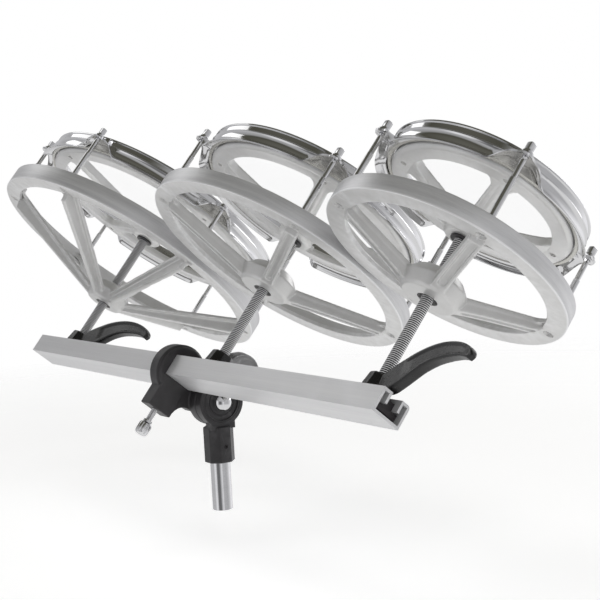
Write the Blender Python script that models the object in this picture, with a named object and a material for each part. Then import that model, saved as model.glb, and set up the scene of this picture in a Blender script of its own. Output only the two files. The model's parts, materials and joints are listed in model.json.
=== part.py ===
# Three shell-less tuning drums on one slotted rail, tilted on a stand tube.
# Turning a drum winds its lower frame along the fixed threaded spindle. That
# pulls the hoop down over the head, and so raises the pitch.
# Metres. The origin is the lower end of the upright stand tube.

import bmesh
import bpy
from dataclasses import dataclass
from math import cos, pi, radians, sin, sqrt, tau
from mathutils import Matrix, Vector

# Clearances between separate pieces
CLEAR = 0.0003
SCREW_CLEAR = 0.0004

# How finely round pieces are faceted
RING_SIDES = 32
DISC_SIDES = 24
HUB_SIDES = 16
SHAFT_SIDES = 12
ROD_SIDES = 8
SMOOTH_ANGLE = radians(32)

# Tilt on the stand
TILT = radians(40)
PIVOT_HEIGHT = 0.098
PIVOT_BEHIND_RAIL = 0.0384
PIVOT_BELOW_RAIL_TOP = 0.0141
PIVOT_BOLT_RADIUS = 0.004

# Rail, a slotted extrusion that carries the drums
RAIL_LENGTH = 0.607
RAIL_SHIFT = -0.0095
RAIL_WIDTH = 0.028
RAIL_HEIGHT = 0.0195
RAIL_WALL = 0.0022
SLOT_WIDTH = 0.0106
LIP_DEPTH = 0.0095
RAIL_CORNER_RADIUS = 0.003
CORNER_STEPS = 4

# T-shaped nut that clamps a spindle anywhere along the rail's slot
NUT_LENGTH = 0.044
NUT_FLANGE_HEIGHT = 0.0047
NUT_NECK_HEIGHT = 0.0058

# Threaded spindle, drawn at its outside diameter
SPINDLE_RADIUS = 0.00476
SPINDLE_FOOT_RADIUS = 0.0032
JOURNAL_RADIUS = 0.004
JOURNAL_LENGTH = 0.0145
BUSH_FLANGE_RADIUS = 0.0085
BUSH_FLANGE_HEIGHT = 0.0016
BUSH_BARREL_RADIUS = 0.0065
BUSH_BARREL_LENGTH = 0.012

# Lock lever that pinches the lips of the rail against the nut
LEVER_HUB_FOOT_RADIUS = 0.012
LEVER_HUB_TOP_RADIUS = 0.0095
LEVER_HUB_HEIGHT = 0.0135
LEVER_HUB_SIDES = 8
LEVER_ROOT_CLEARANCE = 0.0005
LEVER_EDGE = 0.3

# The lever's curved arm, from its hub out to its tip. Each station holds the
# reach and height of its top, the reach and height of its underside, and half
# its thickness.
LEVER_STATIONS = [
    ((0.008, 0.0125), (0.008, LEVER_ROOT_CLEARANCE), 0.0050),
    ((0.017, 0.0205), (0.024, LEVER_ROOT_CLEARANCE), 0.0046),
    ((0.027, 0.0265), (0.033, 0.0045), 0.0043),
    ((0.038, 0.0320), (0.043, 0.0115), 0.0042),
    ((0.052, 0.0365), (0.053, 0.0185), 0.0042),
    ((0.067, 0.0390), (0.066, 0.0238), 0.0042),
    ((0.082, 0.0392), (0.080, 0.0263), 0.0040),
    ((0.096, 0.0370), (0.094, 0.0272), 0.0036),
    ((0.106, 0.0325), (0.103, 0.0262), 0.0030),
    ((0.110, 0.0280), (0.107, 0.0250), 0.0020),
]

# Lower frame: its ring carries the tension rods
LOWER_RING_WIDTH = 0.0165
LOWER_RING_FLOOR_THICKNESS = 0.004
LOWER_RING_WALL = 0.004
LOWER_FILLET_RADIUS = 0.009
FILLET_STEPS = 2
ROD_INSET = 0.0085
ROD_BOSS_RADIUS = 0.0062
INSERT_RADIUS = 0.0082
INSERT_RECESS = 0.004
HUB_FOOT_CHAMFER = 0.002
HUB_WAIST_HEIGHT = 0.012

# Spokes of the lower frame, with a groove under the thick ones
SPOKE_ROOT = 0.005
SPOKE_STEPS = 3
GROOVE_HALF_WIDTH = 0.0038
GROOVE_START = 0.003
GROOVE_END = 0.0015
GROOVE_SHARE = 0.25
GROOVE_STEPS = 3

# Upper frame: its rim is the bearing edge under the head
RIM_WIDTH = 0.0155
RIM_FLOOR_THICKNESS = 0.004
RIM_WALL = 0.0035
RIM_HEIGHT = 0.0112
RIM_CHAMFER = 0.003
EDGE_CHAMFER = 0.001
UPPER_HUB_HEIGHT = 0.018
UPPER_HUB_RADIUS = 0.0165
UPPER_HUB_CHAMFER = 0.0025
UPPER_SPOKE_ROOT = 0.005
UPPER_SPOKE_HALF_WIDTH = 0.0065
UPPER_SPOKE_DEPTH = 0.0085
UPPER_RIB_HALF_WIDTH = 0.0025
UPPER_RIB_DEPTH = 0.0025
UPPER_FILLET_RADIUS = 0.012

# Head: a clear film, and the metal flesh ring that holds its folded edge
FILM_THICKNESS = 0.0004
FLESH_RING_GAP = 0.001
FLESH_RING_WIDTH = 0.0032
FLESH_RING_HEIGHT = 0.0072

# Counter hoop with ears for the tension rods
HOOP_WALL = 0.002
HOOP_SKIRT_HEIGHT = 0.0084
HOOP_HEIGHT = 0.0171
HOOP_BEAD = 0.001
HOOP_FLARE = 0.0054
HOOP_FLARE_HEIGHT = 0.004
EAR_THICKNESS = 0.003
EAR_ROOT_WIDTH = 0.020
EAR_END_RADIUS = 0.0062
EAR_END_STEPS = 6
EAR_DROP = 0.0085

# Tension rod with its sleeve and square key head
ROD_RADIUS = 0.0022
SLEEVE_RADIUS = 0.0026
SLEEVE_TOP_BELOW_EAR = 0.020
ROD_WASHER_RADIUS = 0.0048
ROD_WASHER_HEIGHT = 0.002
ROD_HEAD_HALF = 0.0027
ROD_HEAD_HEIGHT = 0.008
ROD_HEAD_CROWN = 0.0008
ROD_END_INSET = 0.002

# Clamp that the rail slides through
CLAMP_WIDTH = 0.017
CLAMP_RADIUS = 0.0245
CLAMP_RIM_STEP = 0.002
CLAMP_RIM_WIDTH = 0.003
CLAMP_GAP_TO_TUBE = 0.010
CLAMP_BOSS_WIDTH = 0.0245
CLAMP_BOSS_DROP = 0.050
CLAMP_WEB_TOP = 0.013
CLAMP_WEB_STEPS = 4
DISC_RADIUS = 0.022
DISC_THICKNESS = 0.010
DISC_RECESS_RADIUS = 0.0165
DISC_RECESS_DEPTH = 0.0015

# Screw that grips the rail from below
CLAMP_SCREW_RADIUS = 0.003
CLAMP_SCREW_HEAD_RADIUS = 0.006
CLAMP_SCREW_HEAD_HEIGHT = 0.013
CLAMP_SCREW_LENGTH = 0.0425

# Socket that takes the stand tube
TUBE_RADIUS = 0.009
TUBE_WALL = 0.0015
SOCKET_HALF_WIDTH = 0.0125
SOCKET_TOP_CLEARANCE = 0.0005
SOCKET_LENGTH = 0.032
SOCKET_ROOF = 0.004
SOCKET_SIDES = 8
SET_SCREW_RADIUS = 0.0015
SET_SCREW_DROP = 0.040

# Bolt and dome nut of the tilter
BOLT_HEAD_RADIUS = 0.0075
BOLT_HEAD_HEIGHT = 0.005
DOME_RADIUS = 0.0085
DOME_LENGTH = 0.010
DOME_BORE_DEPTH = 0.006
DOME_STEPS = 5
HEXAGON = 6


@dataclass
class Drum:
    """One drum. Heights are above the top of the rail."""
    name: str
    place: float
    shell_radius: float
    rods: int
    first_rod: float
    upper_spokes: int
    first_upper_spoke: float
    lever_turn: float
    ring_floor: float
    ring_height: float
    ring_overhang: float
    hub_floor: float
    hub_height: float
    hub_foot_radius: float
    hub_waist_radius: float
    hub_top_radius: float
    spoke_half_width: float
    rib_half_width: float
    grooved: bool
    spoke_top_at_hub: float
    spoke_rise_past_floor: float
    rib_drop_at_ring: float
    rib_bend: float
    rib_run_out: float
    upper_hub_floor: float
    rim_floor: float

    @property
    def ring_radius(self):
        return self.shell_radius + self.ring_overhang

    @property
    def rod_circle(self):
        return self.ring_radius - ROD_INSET

    @property
    def rim_radius(self):
        return self.shell_radius - CLEAR

    @property
    def rim_top(self):
        return self.rim_floor + RIM_HEIGHT

    @property
    def flesh_inner(self):
        return self.rim_radius + FLESH_RING_GAP

    @property
    def flesh_outer(self):
        return self.flesh_inner + FLESH_RING_WIDTH

    @property
    def flesh_top(self):
        return self.rim_top - CLEAR

    @property
    def hoop_shoulder(self):
        return self.flesh_top + CLEAR

    @property
    def hoop_radius(self):
        return self.flesh_outer + 2 * CLEAR + HOOP_WALL

    @property
    def hoop_top(self):
        return self.hoop_shoulder - HOOP_SKIRT_HEIGHT + HOOP_HEIGHT

    @property
    def ear_top(self):
        return self.hoop_top - EAR_DROP + EAR_THICKNESS / 2

    @property
    def shoulder(self):
        """Height of the spindle's shoulder, which carries the bush."""
        return self.upper_hub_floor - BUSH_FLANGE_HEIGHT - 2 * CLEAR

    def rod_angles(self):
        return [self.first_rod + i * tau / self.rods for i in range(self.rods)]

    def upper_angles(self):
        return [self.first_upper_spoke + i * tau / self.upper_spokes for i in range(self.upper_spokes)]


INCH = 0.0254
DRUMS = [
    Drum(name="right", place=0.266, shell_radius=3 * INCH, rods=4, first_rod=radians(-28),
         upper_spokes=4, first_upper_spoke=radians(-28), lever_turn=radians(-10.5),
         ring_floor=0.1083, ring_height=0.014, ring_overhang=0.0238, hub_floor=0.082,
         hub_height=0.022, hub_foot_radius=0.0235, hub_waist_radius=0.027, hub_top_radius=0.016,
         spoke_half_width=0.0063, rib_half_width=0.006, grooved=True, spoke_top_at_hub=0.0957,
         spoke_rise_past_floor=0.0024, rib_drop_at_ring=0.0035, rib_bend=0.88, rib_run_out=0.003,
         upper_hub_floor=0.137, rim_floor=0.165),
    Drum(name="middle", place=0.038, shell_radius=4 * INCH, rods=4, first_rod=radians(-30.6),
         upper_spokes=4, first_upper_spoke=radians(-30), lever_turn=radians(131),
         ring_floor=0.1057, ring_height=0.0145, ring_overhang=0.0238, hub_floor=0.081,
         hub_height=0.022, hub_foot_radius=0.0235, hub_waist_radius=0.027, hub_top_radius=0.016,
         spoke_half_width=0.0058, rib_half_width=0.0055, grooved=True, spoke_top_at_hub=0.0945,
         spoke_rise_past_floor=0.0018, rib_drop_at_ring=0.0045, rib_bend=0.9, rib_run_out=0.003,
         upper_hub_floor=0.1354, rim_floor=0.1617),
    Drum(name="left", place=-0.252, shell_radius=5 * INCH, rods=6, first_rod=radians(-63),
         upper_spokes=4, first_upper_spoke=radians(-93), lever_turn=radians(8),
         ring_floor=0.1036, ring_height=0.0175, ring_overhang=0.0238, hub_floor=0.053,
         hub_height=0.022, hub_foot_radius=0.020, hub_waist_radius=0.0235, hub_top_radius=0.014,
         spoke_half_width=0.008, rib_half_width=0.003, grooved=False, spoke_top_at_hub=0.0612,
         spoke_rise_past_floor=0.005, rib_drop_at_ring=0.0079, rib_bend=1.0, rib_run_out=0.004,
         upper_hub_floor=0.136, rim_floor=0.1564),
]

# Colour, roughness and metallic value of each finish
FINISHES = {
    "cast_silver": ((0.50, 0.50, 0.51), 0.42, 0.9),
    "rail_aluminium": ((0.62, 0.62, 0.63), 0.35, 0.9),
    "chrome": ((0.80, 0.80, 0.80), 0.10, 1.0),
    "steel": ((0.55, 0.54, 0.52), 0.30, 1.0),
    "dark_steel": ((0.10, 0.09, 0.10), 0.40, 0.8),
    "black_plastic": ((0.02, 0.02, 0.02), 0.45, 0.0),
    "flesh_aluminium": ((0.78, 0.77, 0.72), 0.35, 0.8),
    "clear_film": ((0.90, 0.92, 0.93), 0.08, 0.0),
}


def clear_scene():
    for old in list(bpy.data.objects):
        bpy.data.objects.remove(old, do_unlink=True)


def finish(name, kind):
    """A Principled material of its own for one piece."""
    colour, roughness, metallic = FINISHES[kind]
    material = bpy.data.materials.new(name + "_finish")
    material.use_nodes = True
    shader = material.node_tree.nodes["Principled BSDF"]
    shader.inputs["Base Color"].default_value = (*colour, 1.0)
    shader.inputs["Roughness"].default_value = roughness
    shader.inputs["Metallic"].default_value = metallic
    return material


def empty(name, parent, location=(0, 0, 0), rotation=(0, 0, 0)):
    holder = bpy.data.objects.new(name, None)
    bpy.context.collection.objects.link(holder)
    holder.parent = parent
    holder.location = location
    holder.rotation_euler = rotation
    return holder


def piece(name, mesh, parent, kind, location=(0, 0, 0)):
    """Puts a finished mesh in the scene as one named sub-part."""
    mesh.name = name
    mesh.materials.clear()
    mesh.materials.append(finish(name, kind))
    mesh.shade_smooth()
    mesh.set_sharp_from_angle(angle=SMOOTH_ANGLE)
    thing = bpy.data.objects.new(name, mesh)
    bpy.context.collection.objects.link(thing)
    thing.parent = parent
    thing.location = location
    return thing


def lofted(sections, around=False):
    """Skins a closed solid over equal-length sections.
    around=True joins the last section back to the first."""
    shape = bmesh.new()
    rings = [[shape.verts.new(point) for point in section] for section in sections]
    count = len(rings[0])
    pairs = list(zip(rings, rings[1:]))
    if around:
        pairs.append((rings[-1], rings[0]))
    else:
        shape.faces.new(rings[0])
        shape.faces.new(list(reversed(rings[-1])))
    for near, far in pairs:
        for i in range(count):
            j = (i + 1) % count
            shape.faces.new((near[i], far[i], far[j], near[j]))
    bmesh.ops.recalc_face_normals(shape, faces=shape.faces)
    mesh = bpy.data.meshes.new("shape")
    shape.to_mesh(mesh)
    shape.free()
    return mesh


def circle(radius, height, sides, phase=0.0):
    return [Vector((radius * cos(phase + tau * i / sides), radius * sin(phase + tau * i / sides),
                    height)) for i in range(sides)]


def turned_ring(profile, sides=RING_SIDES):
    """Turns a closed (radius, height) outline about Z. It has a bore."""
    sections = [[Vector((radius * cos(a), radius * sin(a), height)) for radius, height in profile]
                for a in (tau * i / sides for i in range(sides))]
    return lofted(sections, around=True)


def turned(profile, sides=SHAFT_SIDES, phase=0.0):
    """Turns an open (radius, height) outline about Z and caps both its ends."""
    return lofted([circle(radius, height, sides, phase) for radius, height in profile])


def extruded(outline, start, end):
    """A prism of a (y, z) outline along X."""
    return lofted([[Vector((x, y, z)) for y, z in outline] for x in (start, end)])


def block(low, high):
    outline = [(low[1], low[2]), (high[1], low[2]), (high[1], high[2]), (low[1], high[2])]
    return extruded(outline, low[0], high[0])


def moved(mesh, matrix):
    mesh.transform(matrix)
    return mesh


def about_z(mesh, angle, offset=(0, 0, 0)):
    return moved(mesh, Matrix.Rotation(angle, 4, "Z") @ Matrix.Translation(offset))


def along_x(mesh, offset=(0, 0, 0)):
    """Lays a piece turned about Z along +X."""
    return moved(mesh, Matrix.Translation(offset) @ Matrix.Rotation(pi / 2, 4, "Y"))


def combine(base, tools, operation="UNION"):
    """Adds solids to a base solid, or takes them away, one after another."""
    body = bpy.data.objects.new("body", base)
    bpy.context.collection.objects.link(body)
    for mesh in tools:
        tool = bpy.data.objects.new("tool", mesh)
        bpy.context.collection.objects.link(tool)
        step = body.modifiers.new("step", "BOOLEAN")
        step.operation = operation
        step.solver = "EXACT"
        step.object = tool
        bpy.context.view_layer.update()
        evaluated = body.evaluated_get(bpy.context.evaluated_depsgraph_get())
        body.data = bpy.data.meshes.new_from_object(evaluated)
        body.modifiers.clear()
        bpy.data.objects.remove(tool, do_unlink=True)
    result = body.data
    bpy.data.objects.remove(body, do_unlink=True)
    return result


def cut(base, tools):
    return combine(base, tools, "DIFFERENCE")


def rail_outline():
    """Slotted channel with one rounded back corner, as (y, z) about its top middle."""
    half = RAIL_WIDTH / 2
    slot = SLOT_WIDTH / 2
    corner_y = half - RAIL_CORNER_RADIUS
    corner = [(corner_y + RAIL_CORNER_RADIUS * cos(a), -RAIL_CORNER_RADIUS + RAIL_CORNER_RADIUS * sin(a))
              for a in (pi / 2 * i / CORNER_STEPS for i in range(CORNER_STEPS + 1))]
    inner = half - RAIL_WALL
    lip = slot + RAIL_WALL
    floor = -RAIL_HEIGHT + RAIL_WALL
    return [(-half, 0), (-half, -RAIL_HEIGHT), (half, -RAIL_HEIGHT), *corner,
            (slot, 0), (slot, -LIP_DEPTH), (lip, -LIP_DEPTH), (lip, -RAIL_WALL),
            (inner, -RAIL_WALL), (inner, floor), (-inner, floor), (-inner, -RAIL_WALL),
            (-lip, -RAIL_WALL), (-lip, -LIP_DEPTH), (-slot, -LIP_DEPTH), (-slot, 0)]


def make_rail(parent):
    mesh = extruded(rail_outline(), -RAIL_LENGTH / 2, RAIL_LENGTH / 2)
    piece("rail", mesh, parent, "rail_aluminium", (RAIL_SHIFT, 0, 0))


def slide_nut():
    """T-shaped nut: its flange runs under the lips, its neck between them."""
    neck = SLOT_WIDTH / 2 - CLEAR
    flange = RAIL_WIDTH / 2 - RAIL_WALL - CLEAR
    under_lips = -LIP_DEPTH - CLEAR
    top = under_lips + NUT_NECK_HEIGHT
    bottom = under_lips - NUT_FLANGE_HEIGHT
    outline = [(-flange, bottom), (flange, bottom), (flange, under_lips), (neck, under_lips),
               (neck, top), (-neck, top), (-neck, under_lips), (-flange, under_lips)]
    body = extruded(outline, -NUT_LENGTH / 2, NUT_LENGTH / 2)
    bore = SPINDLE_FOOT_RADIUS + CLEAR
    return cut(body, [turned([(bore, bottom - RAIL_WALL), (bore, top + RAIL_WALL)])])


def spindle(drum):
    """Foot in the nut, threaded length, then the journal that carries the bush."""
    nut_top = -LIP_DEPTH - CLEAR + NUT_NECK_HEIGHT
    nut_bottom = -LIP_DEPTH - CLEAR - NUT_FLANGE_HEIGHT
    start = nut_top + CLEAR
    return turned([(SPINDLE_FOOT_RADIUS, nut_bottom), (SPINDLE_FOOT_RADIUS, start),
                   (SPINDLE_RADIUS, start), (SPINDLE_RADIUS, drum.shoulder),
                   (JOURNAL_RADIUS, drum.shoulder), (JOURNAL_RADIUS, drum.shoulder + JOURNAL_LENGTH)])


def lever():
    """Faceted hub with a curved arm that clears the rail as it turns."""
    sections = []
    for (top_reach, top), (low_reach, low), half in LEVER_STATIONS:
        over = Vector((top_reach, 0, top))
        under = Vector((low_reach, 0, low))
        side = Vector((0, half, 0))
        inner = side * (1 - LEVER_EDGE)
        upper = over.lerp(under, LEVER_EDGE / 2)
        lower = under.lerp(over, LEVER_EDGE / 2)
        sections.append([under + inner, lower + side, upper + side, over + inner,
                         over - inner, upper - side, lower - side, under - inner])
    arm = lofted(sections)
    hub = turned([(LEVER_HUB_FOOT_RADIUS, CLEAR), (LEVER_HUB_TOP_RADIUS, LEVER_HUB_HEIGHT)],
                 LEVER_HUB_SIDES, pi / LEVER_HUB_SIDES)
    bore = SPINDLE_RADIUS + CLEAR
    hole = turned([(bore, -LEVER_HUB_HEIGHT), (bore, 2 * LEVER_HUB_HEIGHT)])
    return cut(combine(hub, [arm]), [hole])


def fillet(corner, half, radius):
    """Reach and half width of each station that rounds a spoke into its ring."""
    turns = [pi / 2 * i / FILLET_STEPS for i in range(1, FILLET_STEPS + 1)]
    return [(corner + radius * sin(a), half + radius * (1 - cos(a))) for a in turns]


def spoke(stations):
    """A T-section bar along +X. A station is reach, half width, rib half width,
    and the heights of the bar's top, the bar's underside and the rib's underside."""
    sections = []
    for reach, half, rib, top, under, rib_under in stations:
        outline = [(-half, under), (-half, top), (half, top), (half, under),
                   (rib, under), (rib, rib_under), (-rib, rib_under), (-rib, under)]
        sections.append([Vector((reach, y, z)) for y, z in outline])
    return lofted(sections)


def lower_spoke_heights(drum, reach):
    """Heights of a lower spoke's top and of its rib's underside at one reach."""
    start = drum.hub_foot_radius - SPOKE_ROOT
    inner_edge = drum.ring_radius - LOWER_RING_WIDTH
    t = (reach - start) / (inner_edge - start)
    top_at_ring = drum.ring_floor + LOWER_RING_FLOOR_THICKNESS + drum.spoke_rise_past_floor
    rib_at_hub = drum.hub_floor + CLEAR
    rib_at_ring = drum.ring_floor - drum.rib_drop_at_ring
    top = drum.spoke_top_at_hub + (top_at_ring - drum.spoke_top_at_hub) * t
    return top, rib_at_hub + (rib_at_ring - rib_at_hub) * t ** drum.rib_bend


def lower_spoke(drum):
    """Runs from inside the lower hub to the ring, and its rib runs out under the ring."""
    start = drum.hub_foot_radius - SPOKE_ROOT
    inner_edge = drum.ring_radius - LOWER_RING_WIDTH
    corner = inner_edge - LOWER_FILLET_RADIUS
    line = [(start + (corner - start) * i / SPOKE_STEPS, drum.spoke_half_width)
            for i in range(SPOKE_STEPS + 1)]
    stations = []
    for reach, half in line + fillet(corner, drum.spoke_half_width, LOWER_FILLET_RADIUS):
        top, rib = lower_spoke_heights(drum, reach)
        under = top - LOWER_RING_FLOOR_THICKNESS
        stations.append((reach, half, drum.rib_half_width, top, under, rib))
    end_top = stations[-1][3]
    end_under = end_top - LOWER_RING_FLOOR_THICKNESS + CLEAR
    for reach in (inner_edge + drum.rib_run_out, drum.ring_radius - LOWER_RING_WALL / 2):
        if reach > stations[-1][0] + CLEAR:
            stations.append((reach, drum.spoke_half_width, drum.rib_half_width, end_top, end_under,
                             end_under - CLEAR))
    return spoke(stations)


def groove(drum):
    """Cutter for the round-ended groove along the underside of a lower spoke."""
    start = drum.hub_foot_radius + GROOVE_START
    end = drum.ring_radius - LOWER_RING_WIDTH - GROOVE_END
    turns = [pi / 2 * i / GROOVE_STEPS for i in range(GROOVE_STEPS)]
    rounds = [(GROOVE_HALF_WIDTH * sin(a), GROOVE_HALF_WIDTH * cos(a)) for a in turns]
    near = [(start + GROOVE_HALF_WIDTH - shift, half) for shift, half in reversed(rounds)]
    far = [(end - GROOVE_HALF_WIDTH + shift, half) for shift, half in rounds]
    length = far[0][0] - near[-1][0]
    line = [(near[-1][0] + length * i / SPOKE_STEPS, GROOVE_HALF_WIDTH) for i in range(1, SPOKE_STEPS)]
    sections = []
    for reach, half in near + line + far:
        top, rib = lower_spoke_heights(drum, reach)
        ceiling = rib + GROOVE_SHARE * (top - rib)
        outline = [(-half, rib - GROOVE_HALF_WIDTH), (-half, ceiling), (half, ceiling),
                   (half, rib - GROOVE_HALF_WIDTH)]
        sections.append([Vector((reach, y, z)) for y, z in outline])
    return lofted(sections)


def lower_frame(drum):
    """Ring, spokes and hub in one casting, with a boss for each tension rod."""
    outer = drum.ring_radius
    inner = outer - LOWER_RING_WIDTH
    wall = outer - LOWER_RING_WALL
    floor = drum.ring_floor
    floor_top = floor + LOWER_RING_FLOOR_THICKNESS
    top = floor + drum.ring_height
    body = turned_ring([(outer, floor), (outer, top), (wall, top), (wall, floor_top),
                        (inner, floor_top), (inner, floor)])
    hub_floor = drum.hub_floor
    hub_top = hub_floor + drum.hub_height
    bore = INSERT_RADIUS + CLEAR
    hub = turned_ring([(bore, hub_floor), (drum.hub_foot_radius - HUB_FOOT_CHAMFER, hub_floor),
                       (drum.hub_foot_radius, hub_floor + HUB_FOOT_CHAMFER),
                       (drum.hub_waist_radius, hub_floor + HUB_WAIST_HEIGHT),
                       (drum.hub_top_radius, hub_top), (bore, hub_top)], HUB_SIDES)
    spokes = [about_z(lower_spoke(drum), angle) for angle in drum.rod_angles()]
    boss_floor = floor + LOWER_RING_FLOOR_THICKNESS / 2
    boss_top = top - LOWER_RING_FLOOR_THICKNESS / 2
    bosses = [about_z(turned([(ROD_BOSS_RADIUS, boss_floor), (ROD_BOSS_RADIUS, boss_top)]),
                      angle, (drum.rod_circle, 0, 0)) for angle in drum.rod_angles()]
    solid = combine(hub, spokes + [body] + bosses)
    hole = ROD_RADIUS + SCREW_CLEAR
    drill = [about_z(turned([(hole, hub_floor), (hole, top + LOWER_RING_WALL)], ROD_SIDES),
                     angle, (drum.rod_circle, 0, 0)) for angle in drum.rod_angles()]
    grooves = [about_z(groove(drum), angle) for angle in drum.rod_angles()] if drum.grooved else []
    through = turned([(bore, hub_floor - LOWER_RING_WALL), (bore, hub_top + LOWER_RING_WALL)], HUB_SIDES)
    return cut(solid, drill + grooves + [through])


def thread_insert(drum):
    """Steel nut in the lower hub, which runs on the spindle's thread."""
    bore = SPINDLE_RADIUS + CLEAR
    low = drum.hub_floor + INSERT_RECESS
    high = drum.hub_floor + drum.hub_height - CLEAR
    return turned_ring([(bore, low), (INSERT_RADIUS, low), (INSERT_RADIUS, high), (bore, high)], HUB_SIDES)


def upper_spoke(drum):
    """Runs from inside the upper hub down its slope into the rim."""
    start = UPPER_HUB_RADIUS - UPPER_SPOKE_ROOT
    inner_edge = drum.rim_radius - RIM_WIDTH
    corner = inner_edge - UPPER_FILLET_RADIUS
    top_at_hub = drum.upper_hub_floor + UPPER_HUB_HEIGHT - CLEAR
    top_at_rim = drum.rim_floor + UPPER_SPOKE_DEPTH + CLEAR
    line = [(start, UPPER_SPOKE_HALF_WIDTH), (corner, UPPER_SPOKE_HALF_WIDTH)]
    stations = []
    for reach, half in line + fillet(corner, UPPER_SPOKE_HALF_WIDTH, UPPER_FILLET_RADIUS):
        t = (reach - start) / (inner_edge - start)
        top = top_at_hub + (top_at_rim - top_at_hub) * t
        under = top - UPPER_SPOKE_DEPTH
        rib = under - UPPER_RIB_DEPTH * (1 - t) - CLEAR
        stations.append((reach, half, UPPER_RIB_HALF_WIDTH, top, under, rib))
    end = drum.rim_radius - RIM_WALL / 2
    under = top_at_rim - UPPER_SPOKE_DEPTH + CLEAR
    stations.append((end, UPPER_SPOKE_HALF_WIDTH, UPPER_RIB_HALF_WIDTH, top_at_rim,
                     under + CLEAR, under))
    return spoke(stations)


def upper_frame(drum):
    """Rim, spokes and hub in one casting. The head bears on the rim's top edge."""
    outer = drum.rim_radius
    inner = outer - RIM_WIDTH
    wall = outer - RIM_WALL
    floor = drum.rim_floor
    floor_top = floor + RIM_FLOOR_THICKNESS
    top = drum.rim_top
    rim = turned_ring([(inner, floor), (outer - RIM_CHAMFER, floor), (outer, floor + RIM_CHAMFER),
                       (outer, top - EDGE_CHAMFER), (outer - EDGE_CHAMFER, top), (wall, top),
                       (wall, floor_top), (inner, floor_top)])
    low = drum.upper_hub_floor
    high = low + UPPER_HUB_HEIGHT
    bore = BUSH_BARREL_RADIUS + CLEAR
    bore_top = drum.shoulder + JOURNAL_LENGTH + CLEAR
    neck = UPPER_HUB_RADIUS - UPPER_HUB_CHAMFER
    hub = turned([(neck, low), (UPPER_HUB_RADIUS, low + UPPER_HUB_CHAMFER),
                  (UPPER_HUB_RADIUS, high - UPPER_HUB_CHAMFER), (neck, high)], HUB_SIDES)
    spokes = [about_z(upper_spoke(drum), angle) for angle in drum.upper_angles()]
    bush_hole = turned([(bore, low - UPPER_HUB_CHAMFER), (bore, bore_top)], HUB_SIDES)
    return cut(combine(hub, spokes + [rim]), [bush_hole])


def hub_bush(drum):
    """Flanged bush that sits on the spindle's shoulder and turns with the upper frame."""
    bore = JOURNAL_RADIUS + CLEAR
    low = drum.shoulder + CLEAR
    flange_top = low + BUSH_FLANGE_HEIGHT
    high = flange_top + BUSH_BARREL_LENGTH
    return turned_ring([(bore, low), (BUSH_FLANGE_RADIUS, low), (BUSH_FLANGE_RADIUS, flange_top),
                        (BUSH_BARREL_RADIUS, flange_top), (BUSH_BARREL_RADIUS, high), (bore, high)],
                       HUB_SIDES)


def head_film(drum):
    """Clear film over the bearing edge. It reaches out over the flesh ring, up to the hoop."""
    under = drum.rim_top + CLEAR
    radius = drum.flesh_inner + FLESH_RING_WIDTH / 2 - CLEAR
    return turned([(radius, under), (radius, under + FILM_THICKNESS)], RING_SIDES)


def flesh_ring(drum):
    """Metal ring that holds the film's collar, pressed down by the hoop."""
    low = drum.flesh_top - FLESH_RING_HEIGHT
    inner = drum.flesh_inner
    outer = drum.flesh_outer
    return turned_ring([(inner, low), (outer, low), (outer, drum.flesh_top), (inner, drum.flesh_top)])


def ear(drum):
    """Tab that reaches out from the hoop to one tension rod."""
    root = drum.hoop_radius - HOOP_WALL / 2
    half = EAR_ROOT_WIDTH / 2
    reach = drum.rod_circle
    tip = [(reach + EAR_END_RADIUS * cos(a), EAR_END_RADIUS * sin(a))
           for a in (-pi / 2 + pi * i / EAR_END_STEPS for i in range(EAR_END_STEPS + 1))]
    outline = [(root, -half), *tip, (root, half)]
    low = drum.ear_top - EAR_THICKNESS
    return lofted([[Vector((x, y, z)) for x, y in outline] for z in (low, drum.ear_top)])


def hoop(drum):
    """Counter hoop: a flared skirt round the flesh ring, a bead, and a narrower band above."""
    outer = drum.hoop_radius
    skirt_inner = outer - HOOP_WALL
    press_inner = drum.flesh_inner + FLESH_RING_WIDTH / 2
    band_outer = outer - HOOP_BEAD
    shoulder = drum.hoop_shoulder
    low = shoulder - HOOP_SKIRT_HEIGHT
    top = drum.hoop_top
    edge = low - HOOP_FLARE_HEIGHT
    body = turned_ring([(skirt_inner + HOOP_FLARE, edge), (outer + HOOP_FLARE, edge), (outer, low),
                        (outer, shoulder - HOOP_BEAD), (outer + HOOP_BEAD, shoulder),
                        (band_outer, shoulder + HOOP_BEAD), (band_outer, top - 2 * HOOP_BEAD),
                        (outer, top), (press_inner, top), (press_inner, shoulder),
                        (skirt_inner, shoulder), (skirt_inner, low)])
    solid = combine(body, [about_z(ear(drum), angle) for angle in drum.rod_angles()])
    hole = ROD_RADIUS + SCREW_CLEAR
    drill_low = drum.ear_top - 2 * EAR_THICKNESS
    drill_high = drum.ear_top + EAR_THICKNESS
    drill = [about_z(turned([(hole, drill_low), (hole, drill_high)], ROD_SIDES), angle,
                     (drum.rod_circle, 0, 0)) for angle in drum.rod_angles()]
    return cut(solid, drill)


def square(half, height):
    """Eight points round a square, so that it joins the rod's round sections."""
    corner = half * sqrt(2)
    return [Vector(((corner if i % 2 else half) * cos(tau * i / ROD_SIDES),
                    (corner if i % 2 else half) * sin(tau * i / ROD_SIDES), height))
            for i in range(ROD_SIDES)]


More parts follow.
